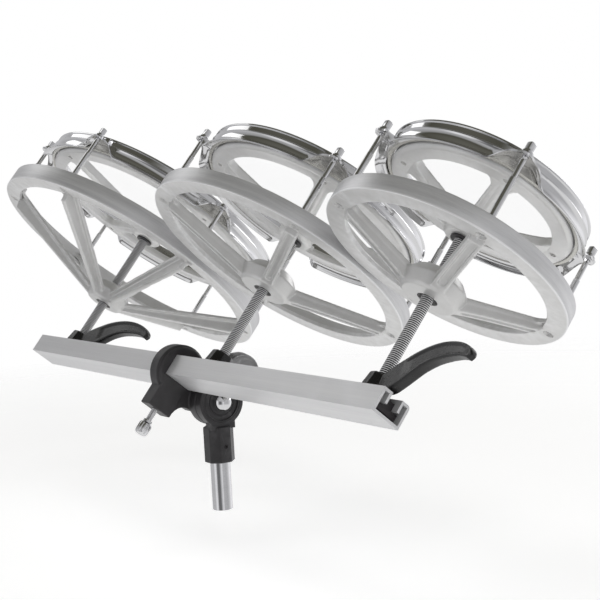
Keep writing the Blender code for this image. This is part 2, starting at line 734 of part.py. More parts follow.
def tension_rod(drum):
    """Threaded end, sleeve, bolt shank, washer and square key head."""
    end = drum.ring_floor + ROD_END_INSET
    sleeve_low = drum.ring_floor + drum.ring_height - LOWER_RING_FLOOR_THICKNESS / 2 + CLEAR
    sleeve_top = drum.ear_top - SLEEVE_TOP_BELOW_EAR
    washer_low = drum.ear_top + CLEAR
    washer_top = washer_low + ROD_WASHER_HEIGHT
    head_top = washer_top + ROD_HEAD_HEIGHT
    rounds = [(ROD_RADIUS, end), (ROD_RADIUS, sleeve_low), (SLEEVE_RADIUS, sleeve_low),
              (SLEEVE_RADIUS, sleeve_top), (ROD_RADIUS, sleeve_top), (ROD_RADIUS, washer_low),
              (ROD_WASHER_RADIUS, washer_low), (ROD_WASHER_RADIUS, washer_top)]
    sections = [circle(radius, height, ROD_SIDES) for radius, height in rounds]
    sections += [square(ROD_HEAD_HALF, washer_top), square(ROD_HEAD_HALF, head_top - ROD_HEAD_CROWN),
                 square(ROD_HEAD_HALF - ROD_HEAD_CROWN, head_top)]
    return lofted(sections)


def make_drum(drum, parent):
    base = empty(drum.name + "_drum", parent, (drum.place, 0, 0))
    side = drum.name
    piece(side + "_slide_nut", slide_nut(), base, "dark_steel")
    piece(side + "_spindle", spindle(drum), base, "steel")
    piece(side + "_lock_lever", about_z(lever(), drum.lever_turn), base, "black_plastic")
    piece(side + "_lower_frame", lower_frame(drum), base, "cast_silver")
    piece(side + "_thread_insert", thread_insert(drum), base, "dark_steel")
    piece(side + "_upper_frame", upper_frame(drum), base, "cast_silver")
    piece(side + "_hub_bush", hub_bush(drum), base, "black_plastic")
    piece(side + "_head_film", head_film(drum), base, "clear_film")
    piece(side + "_flesh_ring", flesh_ring(drum), base, "flesh_aluminium")
    piece(side + "_hoop", hoop(drum), base, "chrome")
    for number, angle in enumerate(drum.rod_angles(), start=1):
        place = (drum.rod_circle * cos(angle), drum.rod_circle * sin(angle), 0)
        piece(f"{side}_tension_rod_{number}", tension_rod(drum), base, "chrome", place)


def clamp_web(rail_y, rail_top):
    """Outline of the web between the boss and the disc, with a hollow back edge."""
    low = Vector((rail_y + CLAMP_BOSS_WIDTH / 2, rail_top - CLAMP_BOSS_DROP))
    high = Vector((-DISC_RADIUS / 2, -DISC_RADIUS * sqrt(3) / 2))
    hollow = Vector((low.x, high.y))
    curve = []
    for i in range(CLAMP_WEB_STEPS + 1):
        t = i / CLAMP_WEB_STEPS
        curve.append(low.lerp(hollow, t).lerp(hollow.lerp(high, t), t))
    back = -BOLT_HEAD_RADIUS - CLAMP_RIM_STEP
    return [*curve, (back, high.y), (back, CLAMP_WEB_TOP), (rail_y, CLAMP_WEB_TOP), (rail_y, low.y)]


def make_clamp(parent):
    """Ring round the rail, a boss for its screw below, and one disc of the tilter.
    The parent's origin is the tilt axis. The rail's top middle lies in front of it."""
    rail_y = -PIVOT_BEHIND_RAIL
    rail_top = PIVOT_BELOW_RAIL_TOP
    near = -CLAMP_GAP_TO_TUBE
    far = near - CLAMP_WIDTH
    middle = (near + far) / 2
    rail_middle = rail_top - RAIL_HEIGHT / 2
    disc_near = -CLEAR / 2
    disc_far = -SOCKET_HALF_WIDTH
    small = CLAMP_RADIUS - CLAMP_RIM_STEP
    ring = along_x(turned([(CLAMP_RADIUS, 0), (CLAMP_RADIUS, CLAMP_WIDTH - CLAMP_RIM_WIDTH),
                           (small, CLAMP_WIDTH - CLAMP_RIM_WIDTH), (small, CLAMP_WIDTH)], DISC_SIDES),
                   (far, rail_y, rail_middle))
    half = CLAMP_BOSS_WIDTH / 2
    boss = block((far, rail_y - half, rail_top - CLAMP_BOSS_DROP), (near, rail_y + half, rail_middle))
    web = extruded(clamp_web(rail_y, rail_top), far + CLAMP_RIM_WIDTH, near - CLEAR)
    disc = along_x(turned([(DISC_RADIUS, 0), (DISC_RADIUS, disc_near - disc_far)], DISC_SIDES),
                   (disc_far, 0, 0))
    solid = combine(ring, [boss, web, disc])
    hole = block((far - CLAMP_WIDTH, rail_y - RAIL_WIDTH / 2 - CLEAR, rail_top - RAIL_HEIGHT - CLEAR),
                 (near + CLAMP_WIDTH, rail_y + RAIL_WIDTH / 2 + CLEAR, rail_top + CLEAR))
    bolt_bore = PIVOT_BOLT_RADIUS + SCREW_CLEAR
    bolt_hole = along_x(turned([(bolt_bore, 0), (bolt_bore, 2 * CLAMP_WIDTH)]), (far - CLEAR, 0, 0))
    screw_bore = CLAMP_SCREW_RADIUS + SCREW_CLEAR
    screw_hole = turned([(screw_bore, rail_top - 2 * CLAMP_BOSS_DROP), (screw_bore, rail_middle)])
    moved(screw_hole, Matrix.Translation((middle, rail_y, 0)))
    piece("rail_clamp", cut(solid, [hole, bolt_hole, screw_hole]), parent, "black_plastic")

    tip = rail_top - RAIL_HEIGHT - CLEAR
    neck = tip - CLAMP_SCREW_LENGTH
    end = neck - CLAMP_SCREW_HEAD_HEIGHT
    screw = turned([(CLAMP_SCREW_HEAD_RADIUS, end - tip), (CLAMP_SCREW_HEAD_RADIUS, neck - tip),
                    (CLAMP_SCREW_RADIUS, neck - tip), (CLAMP_SCREW_RADIUS, 0)])
    piece("clamp_screw", screw, parent, "chrome", (middle, rail_y, tip))


def make_tilter_bolt(parent):
    """Hexagon-headed bolt through both discs, and the dome nut on its end."""
    head_face = -SOCKET_HALF_WIDTH - CLEAR
    nut_face = DISC_THICKNESS - DISC_RECESS_DEPTH + CLEAR
    shank_end = nut_face + DOME_BORE_DEPTH - CLEAR
    head = along_x(turned([(BOLT_HEAD_RADIUS, 0), (BOLT_HEAD_RADIUS, BOLT_HEAD_HEIGHT)], HEXAGON),
                   (head_face - BOLT_HEAD_HEIGHT, 0, 0))
    start = head_face - BOLT_HEAD_HEIGHT / 2
    shank = along_x(turned([(PIVOT_BOLT_RADIUS, 0), (PIVOT_BOLT_RADIUS, shank_end - start)]), (start, 0, 0))
    piece("tilter_bolt", combine(head, [shank]), parent, "steel")
    bore = PIVOT_BOLT_RADIUS + CLEAR
    dome = [(DOME_RADIUS * cos(a), DOME_LENGTH - DOME_RADIUS + DOME_RADIUS * sin(a))
            for a in (pi / 2 * i / DOME_STEPS for i in range(DOME_STEPS))]
    nut = turned([(bore, DOME_BORE_DEPTH), (bore, 0), (DOME_RADIUS, 0), *dome])
    piece("tilter_dome_nut", along_x(nut), parent, "chrome", (nut_face, 0, 0))


def make_socket(parent):
    """The stand's half of the tilter: its disc, and the sleeve that takes the tube."""
    disc_low = CLEAR / 2
    bolt_bore = PIVOT_BOLT_RADIUS + SCREW_CLEAR
    disc = turned_ring([(bolt_bore, disc_low), (DISC_RADIUS, disc_low), (DISC_RADIUS, DISC_THICKNESS),
                        (DISC_RECESS_RADIUS, DISC_THICKNESS),
                        (DISC_RECESS_RADIUS, DISC_THICKNESS - DISC_RECESS_DEPTH),
                        (bolt_bore, DISC_THICKNESS - DISC_RECESS_DEPTH)], DISC_SIDES)
    along_x(disc)
    sleeve_top = -DISC_RADIUS - SOCKET_TOP_CLEARANCE
    sleeve_end = sleeve_top - SOCKET_LENGTH
    neck_half = SOCKET_HALF_WIDTH - CLEAR
    neck_top = -sqrt(DISC_RADIUS ** 2 - SOCKET_HALF_WIDTH ** 2)
    neck = block((disc_low, -neck_half, sleeve_top - SOCKET_ROOF / 2),
                 (DISC_THICKNESS - CLEAR, neck_half, neck_top))
    corner = SOCKET_HALF_WIDTH / cos(pi / SOCKET_SIDES)
    sleeve = turned([(corner, sleeve_end), (corner, sleeve_top)], SOCKET_SIDES, pi / SOCKET_SIDES)
    solid = combine(sleeve, [neck, disc])
    bore = TUBE_RADIUS + CLEAR
    bore_top = sleeve_top - SOCKET_ROOF
    tube_hole = turned([(bore, sleeve_end - SOCKET_ROOF), (bore, bore_top)], HUB_SIDES)
    screw_bore = SET_SCREW_RADIUS + CLEAR
    screw_hole = along_x(turned([(screw_bore, 0), (screw_bore, 2 * SOCKET_HALF_WIDTH)], ROD_SIDES),
                         (TUBE_RADIUS / 2, 0, -SET_SCREW_DROP))
    piece("tilter_socket", cut(solid, [tube_hole, screw_hole]), parent, "black_plastic",
          (0, 0, PIVOT_HEIGHT))

    tube_top = PIVOT_HEIGHT + bore_top - CLEAR
    tube = turned_ring([(TUBE_RADIUS - TUBE_WALL, 0), (TUBE_RADIUS, 0), (TUBE_RADIUS, tube_top),
                        (TUBE_RADIUS - TUBE_WALL, tube_top)], HUB_SIDES)
    piece("stand_tube", tube, parent, "chrome")

    length = SOCKET_HALF_WIDTH - TUBE_RADIUS - CLEAR
    screw = along_x(turned([(SET_SCREW_RADIUS, 0), (SET_SCREW_RADIUS, length)], ROD_SIDES))
    piece("socket_set_screw", screw, parent, "dark_steel",
          (TUBE_RADIUS + CLEAR, 0, PIVOT_HEIGHT - SET_SCREW_DROP))


def build():
    clear_scene()
    stand = empty("stand", None)
    make_socket(stand)
    tilt = empty("tilt_axis", stand, (0, 0, PIVOT_HEIGHT), (-TILT, 0, 0))
    make_tilter_bolt(tilt)
    make_clamp(tilt)
    rail = empty("rail_top_middle", tilt, (0, -PIVOT_BEHIND_RAIL, PIVOT_BELOW_RAIL_TOP))
    make_rail(rail)
    for drum in DRUMS:
        make_drum(drum, rail)


build()
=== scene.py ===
# %% [markdown]
# # Three tuning drums on a slotted rail
#
# Each drum has no shell: a cast upper frame holds the head, a cast lower frame
# holds the tension rods, and both sit on one threaded spindle. This lesson
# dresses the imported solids, piece by piece, with finer meshes and with metal,
# plastic and film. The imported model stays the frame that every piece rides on.

# %% Load the frame
import json
from dataclasses import dataclass
from math import cos, degrees, pi, radians, sin, sqrt, tau

import bmesh
import bpy
from mathutils import Matrix, Vector


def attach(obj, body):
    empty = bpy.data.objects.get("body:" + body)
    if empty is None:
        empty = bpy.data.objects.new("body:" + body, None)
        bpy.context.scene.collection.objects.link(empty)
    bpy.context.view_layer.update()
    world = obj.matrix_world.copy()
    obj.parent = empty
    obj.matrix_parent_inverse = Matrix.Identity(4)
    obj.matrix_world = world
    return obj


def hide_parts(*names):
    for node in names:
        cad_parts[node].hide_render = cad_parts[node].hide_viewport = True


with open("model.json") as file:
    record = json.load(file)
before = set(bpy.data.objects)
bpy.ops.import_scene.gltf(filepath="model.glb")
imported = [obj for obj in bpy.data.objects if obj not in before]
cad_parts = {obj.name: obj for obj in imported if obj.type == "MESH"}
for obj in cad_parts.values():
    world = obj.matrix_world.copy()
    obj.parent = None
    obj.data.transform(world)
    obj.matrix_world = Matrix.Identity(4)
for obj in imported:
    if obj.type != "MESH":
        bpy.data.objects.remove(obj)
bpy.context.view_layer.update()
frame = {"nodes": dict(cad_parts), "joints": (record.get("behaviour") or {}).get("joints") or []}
joints = {joint["name"]: joint for joint in frame["joints"]}
identity = Matrix.Identity(4)
print("Solids in the frame:", len(frame["nodes"]), "and joints:", len(joints))

# %% [markdown]
# ## The drums' own sizes
#
# A drum is round, so it is far easier to build in its own space, with Z up its
# spindle and zero at the top of the rail. The frame's joints say where each
# spindle stands and how it leans, and one matrix then carries a finished piece
# to its place. The sizes are the same named sizes that the solids were made from.

# %% Sizes of each drum
INCH = 0.0254
CLEAR = 0.0003


@dataclass
class Drum:
    side: str
    shell_radius: float
    rods: int
    first_rod: float
    first_upper_spoke: float
    lever_turn: float
    ring_floor: float
    ring_height: float
    hub_floor: float
    hub_foot: float
    hub_waist: float
    hub_top: float
    spoke_half: float
    rib_half: float
    grooved: bool
    spoke_top_at_hub: float
    spoke_rise: float
    rib_drop: float
    rib_bend: float
    rib_run_out: float
    upper_hub_floor: float
    rim_floor: float

    @property
    def ring_radius(self):
        return self.shell_radius + RING_OVERHANG

    @property
    def rod_circle(self):
        return self.ring_radius - ROD_INSET

    @property
    def rim_radius(self):
        return self.shell_radius - CLEAR

    @property
    def rim_top(self):
        return self.rim_floor + RIM_HEIGHT

    @property
    def flesh_outer(self):
        return self.rim_radius + 2 * CLEAR + FILM_THICKNESS + FLESH_WIDTH

    @property
    def hoop_radius(self):
        return self.flesh_outer + 2 * CLEAR + HOOP_WALL

    @property
    def shoulder(self):
        """Height of the step in the hoop that presses on the head's metal ring."""
        return self.rim_top

    @property
    def hoop_top(self):
        return self.shoulder - SKIRT_HEIGHT + HOOP_HEIGHT

    @property
    def ear_top(self):
        return self.hoop_top - EAR_DROP + EAR_THICKNESS / 2

    @property
    def spindle_shoulder(self):
        return self.upper_hub_floor - BUSH_FLANGE_HEIGHT - 2 * CLEAR

    def rod_angles(self):
        return [self.first_rod + tau * i / self.rods for i in range(self.rods)]

    def upper_angles(self):
        return [self.first_upper_spoke + tau * i / 4 for i in range(4)]

    def place(self):
        """Carries the drum's own space to the row frame."""
        turn = joints[self.side + "_drum_turn"]
        lean = Vector((0, 0, 1)).rotation_difference(Vector(turn["axis"]))
        return Matrix.Translation(turn["pos_m"]) @ lean.to_matrix().to_4x4()


RING_OVERHANG = 0.0238
RING_WIDTH = 0.0165
RING_FLOOR = 0.004
RING_WALL = 0.004
ROD_INSET = 0.0085
RIM_WIDTH = 0.0155
RIM_FLOOR = 0.004
RIM_WALL = 0.0035
RIM_HEIGHT = 0.0112
FILM_THICKNESS = 0.0004
FLESH_WIDTH = 0.0032
HOOP_WALL = 0.002
SHEET = 0.0012
SKIRT_HEIGHT = 0.0084
HOOP_HEIGHT = 0.0171
EAR_THICKNESS = 0.003
EAR_DROP = 0.0085
BUSH_FLANGE_HEIGHT = 0.0016
LOWER_HUB_HEIGHT = 0.022

DRUMS = [
    Drum(side="right", shell_radius=3 * INCH, rods=4, first_rod=radians(-28),
         first_upper_spoke=radians(-28), lever_turn=radians(-10.5), ring_floor=0.1083,
         ring_height=0.014, hub_floor=0.082, hub_foot=0.0235, hub_waist=0.027, hub_top=0.016,
         spoke_half=0.0063, rib_half=0.006, grooved=True, spoke_top_at_hub=0.0957,
         spoke_rise=0.0024, rib_drop=0.0035, rib_bend=0.88, rib_run_out=0.003,
         upper_hub_floor=0.137, rim_floor=0.165),
    Drum(side="middle", shell_radius=4 * INCH, rods=4, first_rod=radians(-30.6),
         first_upper_spoke=radians(-30), lever_turn=radians(131), ring_floor=0.1057,
         ring_height=0.0145, hub_floor=0.081, hub_foot=0.0235, hub_waist=0.027, hub_top=0.016,
         spoke_half=0.0058, rib_half=0.0055, grooved=True, spoke_top_at_hub=0.0945,
         spoke_rise=0.0018, rib_drop=0.0045, rib_bend=0.9, rib_run_out=0.003,
         upper_hub_floor=0.1354, rim_floor=0.1617),
    Drum(side="left", shell_radius=5 * INCH, rods=6, first_rod=radians(-63),
         first_upper_spoke=radians(-93), lever_turn=radians(8), ring_floor=0.1036,
         ring_height=0.0175, hub_floor=0.053, hub_foot=0.020, hub_waist=0.0235, hub_top=0.014,
         spoke_half=0.008, rib_half=0.003, grooved=False, spoke_top_at_hub=0.0612,
         spoke_rise=0.005, rib_drop=0.0079, rib_bend=1.0, rib_run_out=0.004,
         upper_hub_floor=0.136, rim_floor=0.1564),
]
for drum in DRUMS:
    lean = degrees(Vector(joints[drum.side + "_drum_turn"]["axis"]).angle((0, 0, 1)))
    print(f"{drum.side}: head {2 * drum.shell_radius:.4f} m, leans {lean:.1f} degrees")

# %% [markdown]
# ## Mesh helpers
#
# Nearly every piece is a skin over a row of sections, or an outline turned about
# an axis. Both come from one function that joins neighbouring sections with
# quads. Solids are then added to or cut from each other with the Manifold
# boolean solver, which is exact and quick on closed meshes.

# %% Skins and turned shapes
HIDDEN_EDGE = radians(32)
CAST_EDGE = radians(40)
MOULDED_EDGE = radians(45)
CHROMED_EDGE = radians(50)


def mesh_from(points, faces):
    mesh = bpy.data.meshes.new("work")
    mesh.from_pydata(points, [], faces)
    shape = bmesh.new()
    shape.from_mesh(mesh)
    bmesh.ops.remove_doubles(shape, verts=shape.verts, dist=1e-7)
    bmesh.ops.recalc_face_normals(shape, faces=shape.faces)
    shape.to_mesh(mesh)
    shape.free()
    return mesh


def skinned(sections, around=False):
    """Skins sections of equal length. around=True joins the last to the first."""
    count = len(sections[0])
    points = [point for section in sections for point in section]
    spans = len(sections) if around else len(sections) - 1
    faces = []
    for a in range(spans):
        b = (a + 1) % len(sections)
        for i in range(count):
            j = (i + 1) % count
            faces.append((a * count + i, b * count + i, b * count + j, a * count + j))
    if not around:
        faces += [tuple(range(count)), tuple(range(len(points) - count, len(points)))]
    return mesh_from(points, faces)


def circle(radius, height, sides, phase=0.0):
    return [(radius * cos(phase + tau * i / sides), radius * sin(phase + tau * i / sides), height)
            for i in range(sides)]


def turned(outline, sides=48, phase=0.0):
    """Turns an open (radius, height) outline about Z and caps both ends."""
    return skinned([circle(radius, height, sides, phase) for radius, height in outline])


def turned_ring(outline, sides=96):
    """Turns a closed (radius, height) outline about Z."""
    return skinned([[(radius * cos(a), radius * sin(a), height) for radius, height in outline]
                    for a in (tau * i / sides for i in range(sides))], around=True)


def extruded(outline, start, end):
    """A prism of a (y, z) outline along X."""
    return skinned([[(x, y, z) for y, z in outline] for x in (start, end)])


def block(low, high):
    return extruded([(low[1], low[2]), (high[1], low[2]), (high[1], high[2]), (low[1], high[2])],
                    low[0], high[0])


def moved(mesh, matrix):
    mesh.transform(matrix)
    return mesh


def about_z(mesh, angle, offset=(0, 0, 0)):
    return moved(mesh, Matrix.Rotation(angle, 4, "Z") @ Matrix.Translation(offset))


def along_x(mesh, offset=(0, 0, 0)):
    return moved(mesh, Matrix.Translation(offset) @ Matrix.Rotation(pi / 2, 4, "Y"))


def at_each_rod(drum, outline, sides=24):
    """One turned shape at the place of each tension rod."""
    return [about_z(turned(outline, sides), angle, (drum.rod_circle, 0, 0)) for angle in drum.rod_angles()]


print("Helpers for skins, turned shapes and prisms are ready")

# %% Solids added, cut and softened
scene = bpy.context.scene


def holder(mesh):
    thing = bpy.data.objects.new("work", mesh)
    scene.collection.objects.link(thing)
    return thing


def applied(thing):
    """The mesh that an object's modifiers make. The object is removed."""
    bpy.context.view_layer.update()
    result = bpy.data.meshes.new_from_object(thing.evaluated_get(bpy.context.evaluated_depsgraph_get()))
    bpy.data.objects.remove(thing, do_unlink=True)
    return result


def combine(base, tools, operation="UNION"):
    for mesh in tools:
        body, tool = holder(base), holder(mesh)
        step = body.modifiers.new("step", "BOOLEAN")
        step.operation = operation
        step.solver = "MANIFOLD"
        step.object = tool
        base = applied(body)
        bpy.data.objects.remove(tool, do_unlink=True)
    return base


def cut(base, tools):
    return combine(base, tools, "DIFFERENCE")


def softened(mesh, grid, rounds=4):
    """Rounds every edge as a casting's are: an even grid is laid over the solid,
    drawn onto its surface, and relaxed a few times."""
    target = holder(mesh)
    body = holder(mesh.copy())
    remesh = body.modifiers.new("grid", "REMESH")
    remesh.mode = "VOXEL"
    remesh.voxel_size = grid
    wrap = body.modifiers.new("draw", "SHRINKWRAP")
    wrap.target = target
    relax = body.modifiers.new("relax", "SMOOTH")
    relax.factor = 0.5
    relax.iterations = rounds
    result = applied(body)
    bpy.data.objects.remove(target, do_unlink=True)
    return result


print("Boolean and softening helpers are ready")

# %% [markdown]
# ## Shared surface effects
#
# Metal and plastic differ, but their surfaces share a few effects: the fine
# orange-peel skin of a casting, the streaks that a belt or a lathe leaves, a
# painted highlight along proud edges, and the smudges of hands. Each effect is one
# node group with named inputs, so that a material only says how strong it is and how big.

# %% Node group helpers
def group(name, inputs, outputs):
    """An empty shader node group with float or vector sockets, and its two end nodes."""
    tree = bpy.data.node_groups.new(name, "ShaderNodeTree")
    for label, kind, value in inputs:
        socket = tree.interface.new_socket(label, in_out="INPUT", socket_type=kind)
        if value is not None:
            socket.default_value = value
    for label, kind in outputs:
        tree.interface.new_socket(label, in_out="OUTPUT", socket_type=kind)
    return tree, tree.nodes.new("NodeGroupInput"), tree.nodes.new("NodeGroupOutput")


FLOAT, VECTOR = "NodeSocketFloat", "NodeSocketVector"


def node(tree, kind, links=None, **settings):
    """Adds a node, sets its properties, and fills or links its inputs by name or number."""
    made = tree.nodes.new("ShaderNode" + kind)
    for label, value in settings.items():
        setattr(made, label, value)
    for label, value in (links or {}).items():
        if isinstance(value, bpy.types.NodeSocket):
            tree.links.new(value, made.inputs[label])
        else:
            made.inputs[label].default_value = value
    return made


def maths(tree, operation, a, b=0.0):
    return node(tree, "Math", {0: a, 1: b}, operation=operation).outputs[0]


def spread(tree, value, low, high, to_low=0.0, to_high=1.0):
    """Maps a range of a value to another range, and clamps it."""
    return node(tree, "MapRange", {"Value": value, "From Min": low, "From Max": high,
                                   "To Min": to_low, "To Max": to_high}).outputs["Result"]


print("Node helpers are ready")

# %% Cast skin, lathe and belt streaks, painted edge highlight and smudges
def make_cast_skin():
    tree, given, out = group("cast skin", [("Vector", VECTOR, None), ("Size", FLOAT, 900.0)],
                             [("Height", FLOAT), ("Tone", FLOAT)])
    fine = node(tree, "TexNoise", {"Vector": given.outputs["Vector"], "Scale": given.outputs["Size"],
                                   "Detail": 3.0, "Roughness": 0.6})
    broad = node(tree, "TexNoise", {"Vector": given.outputs["Vector"],
                                    "Scale": maths(tree, "DIVIDE", given.outputs["Size"], 14.0),
                                    "Detail": 2.0})
    tree.links.new(fine.outputs[0], out.inputs["Height"])
    tree.links.new(maths(tree, "ADD", maths(tree, "MULTIPLY", fine.outputs[0], 0.35),
                         maths(tree, "MULTIPLY", broad.outputs[0], 0.65)), out.inputs["Tone"])
    return tree


def make_turned_space():
    """Radius and height of a point about Z, so that streaks run round a turned piece."""
    tree, given, out = group("turned space", [("Vector", VECTOR, None)],
                             [("Vector", VECTOR), ("Radius", FLOAT)])
    parts = node(tree, "SeparateXYZ", {0: given.outputs["Vector"]})
    flat = node(tree, "CombineXYZ", {0: parts.outputs[0], 1: parts.outputs[1]})
    radius = node(tree, "VectorMath", {0: flat.outputs[0]}, operation="LENGTH").outputs["Value"]
    side = node(tree, "VectorMath", {0: flat.outputs[0]}, operation="NORMALIZE").outputs[0]
    slow = node(tree, "VectorMath", {0: side, "Scale": 0.004}, operation="SCALE").outputs[0]
    ends = node(tree, "CombineXYZ", {0: radius, 2: parts.outputs[2]})
    total = node(tree, "VectorMath", {0: ends.outputs[0], 1: slow}, operation="ADD").outputs[0]
    tree.links.new(total, out.inputs["Vector"])
    tree.links.new(radius, out.inputs["Radius"])
    return tree


def make_streaks():
    tree, given, out = group("belt streaks", [("Vector", VECTOR, None), ("Stretch", VECTOR, (1, 1, 1)),
                                              ("Size", FLOAT, 1500.0)],
                             [("Height", FLOAT), ("Tone", FLOAT)])
    pulled = node(tree, "VectorMath", {0: given.outputs["Vector"], 1: given.outputs["Stretch"]},
                  operation="MULTIPLY").outputs[0]
    fine = node(tree, "TexNoise", {"Vector": pulled, "Scale": given.outputs["Size"], "Detail": 4.0,
                                   "Roughness": 0.7})
    broad = node(tree, "TexNoise", {"Vector": pulled, "Scale": maths(tree, "DIVIDE", given.outputs["Size"],
                                                                     9.0), "Detail": 2.0})
    tree.links.new(fine.outputs[0], out.inputs["Height"])
    tree.links.new(maths(tree, "ADD", maths(tree, "MULTIPLY", fine.outputs[0], 0.5),
                         maths(tree, "MULTIPLY", broad.outputs[0], 0.5)), out.inputs["Tone"])
    return tree


# Pointiness is about 0.5 on a flat face, and a painted edge highlight that starts right there mottles the
# castings
HIGHLIGHT_START = 0.525


def make_edge_highlight():
    """Painted highlight, pale where an edge stands proud, broken up so that it isn't a drawn line."""
    tree, given, out = group("edge highlight", [("Vector", VECTOR, None), ("Reach", FLOAT, 0.06)],
                             [("Mask", FLOAT)])
    shape = node(tree, "NewGeometry")
    # painted highlight: the further an edge stands proud, the paler it is painted
    proud = spread(tree, shape.outputs["Pointiness"], HIGHLIGHT_START, HIGHLIGHT_START)
    tree.links.new(maths(tree, "ADD", given.outputs["Reach"], HIGHLIGHT_START), proud.node.inputs["From Max"])
    broken = node(tree, "TexNoise", {"Vector": given.outputs["Vector"], "Scale": 160.0, "Detail": 3.0})
    tree.links.new(maths(tree, "MULTIPLY", proud, spread(tree, broken.outputs[0], 0.3, 0.65)),
                   out.inputs["Mask"])
    return tree


def make_smudges():
    tree, given, out = group("hand smudges", [("Vector", VECTOR, None), ("Size", FLOAT, 22.0)],
                             [("Mask", FLOAT)])
    cloud = node(tree, "TexNoise", {"Vector": given.outputs["Vector"], "Scale": given.outputs["Size"],
                                    "Detail": 5.0, "Roughness": 0.62, "Distortion": 0.4})
    tree.links.new(spread(tree, cloud.outputs[0], 0.38, 0.68), out.inputs["Mask"])
    return tree


GROUPS = {"skin": make_cast_skin(), "turned": make_turned_space(), "streaks": make_streaks(),
          "edge_highlight": make_edge_highlight(), "smudges": make_smudges()}
print("Shared effects:", ", ".join(tree.name for tree in GROUPS.values()))

# %% [markdown]
# ## Finishes
#
# A finish is a Principled shader whose colour, roughness and bump are fed by the
# shared effects. Bare metal gets its look from what it mirrors, so its roughness
# matters more than its colour. The castings, the rail and the spindles are only
# partly metallic, which keeps them pale where the room they mirror is dark. Every
# finish reads a piece's own space, which is kept with its points: a ring is brushed
# round its own axis wherever the drum stands.

# %% Building blocks of a finish
def new_finish(name):
    material = bpy.data.materials.new(name)
    material.use_nodes = True
    tree = material.node_tree
    space = node(tree, "Attribute", attribute_name="own space").outputs["Vector"]
    return material, tree, tree.nodes["Principled BSDF"], space


def effect(tree, key, space, **values):
    made = tree.nodes.new("ShaderNodeGroup")
    made.node_tree = GROUPS[key]
    tree.links.new(space, made.inputs["Vector"])
    for label, value in values.items():
        made.inputs[label].default_value = value
    return made


def blend(tree, mask, first, second):
    """Mixes two colours, or sockets, by a mask."""
    mix = node(tree, "Mix", data_type="RGBA")
    tree.links.new(mask, mix.inputs["Factor"])
    for label, value in (("A", first), ("B", second)):
        socket = [s for s in mix.inputs if s.name == label and s.type == "RGBA"][0]
        if isinstance(value, bpy.types.NodeSocket):
            tree.links.new(value, socket)
        else:
            socket.default_value = (*value, 1.0)
    return [s for s in mix.outputs if s.type == "RGBA"][0]


def bumped(tree, shader, height, depth):
    bump = node(tree, "Bump", {"Height": height, "Distance": depth, "Strength": 1.0})
    tree.links.new(bump.outputs[0], shader.inputs["Normal"])


print("Finish helpers are ready")

# %% Cast aluminium with a brushed outer band
def toned(share, *colours):
    return [[part * share for part in colour] for colour in colours]


EDGE_LINE = 0.0008


def cast_aluminium(name, band_radius, floor_height, cast_painted_light=1.0, band_painted_light=1.1):
    """Satin casting. Beyond band_radius the ring was brushed, down to a painted highlight line along its
    lower edge.
    """
    material, tree, shader, space = new_finish(name)
    skin = effect(tree, "skin", space, Size=1100.0)
    turned_space = effect(tree, "turned", space)
    streaks = effect(tree, "streaks", turned_space.outputs["Vector"], Stretch=(1, 1, 1), Size=2200.0)
    edge_highlight = effect(tree, "edge_highlight", space, Reach=0.035)
    smudges = effect(tree, "smudges", space, Size=18.0)
    height_up = node(tree, "SeparateXYZ", {0: space}).outputs[2]
    low_edge = spread(tree, height_up, floor_height + EDGE_LINE, floor_height + 2 * EDGE_LINE, 1.0, 0.0)
    band = spread(tree, turned_space.outputs["Radius"], band_radius - 0.0012, band_radius)
    tone = spread(tree, skin.outputs["Tone"], 0.3, 0.7, 0.0, 1.0)
    # painted light: the upper frames pass larger shares here, lighter copies of the same casting colours
    cast = blend(tree, tone, *toned(cast_painted_light, (0.66, 0.658, 0.65), (0.73, 0.728, 0.72)))
    brushed_tone = spread(tree, streaks.outputs["Tone"], 0.35, 0.65)
    brushed = blend(tree, brushed_tone, *toned(band_painted_light, (0.52, 0.52, 0.53), (0.68, 0.68, 0.685)))
    body = blend(tree, band, cast, brushed)
    # painted highlight: a pale line along the lower edge of the brushed band
    line = maths(tree, "MULTIPLY", band, low_edge)
    sheen_and_wear = maths(tree, "MAXIMUM", maths(tree, "MULTIPLY", edge_highlight.outputs["Mask"], 0.6), line)
    # painted highlight: proud edges and the band's lower edge are mixed towards pale grey
    tree.links.new(blend(tree, sheen_and_wear, body, (0.92, 0.92, 0.93)), shader.inputs["Base Color"])
    matt = spread(tree, smudges.outputs["Mask"], 0.0, 1.0, 0.34, 0.44)
    shiny = spread(tree, streaks.outputs["Tone"], 0.3, 0.7, 0.32, 0.44)
    tree.links.new(node(tree, "Mix", {0: band, 2: matt, 3: shiny}).outputs[0], shader.inputs["Roughness"])
    shader.inputs["Metallic"].default_value = 0.62
    height = node(tree, "Mix", {0: band, 2: skin.outputs["Height"], 3: streaks.outputs["Height"]})
    bumped(tree, shader, height.outputs[0], 0.00002)
    return material


# The upper frames take the same casting colours scaled by 1.25 and 1.15: painted light.
CASTINGS = {drum.side: (cast_aluminium(f"cast_{drum.side}_lower", drum.ring_radius, drum.ring_floor),
                        cast_aluminium(f"cast_{drum.side}_upper", drum.rim_radius, drum.rim_floor,
                                       1.25, 1.15))
            for drum in DRUMS}
print("Cast finishes:", len(CASTINGS) * 2)

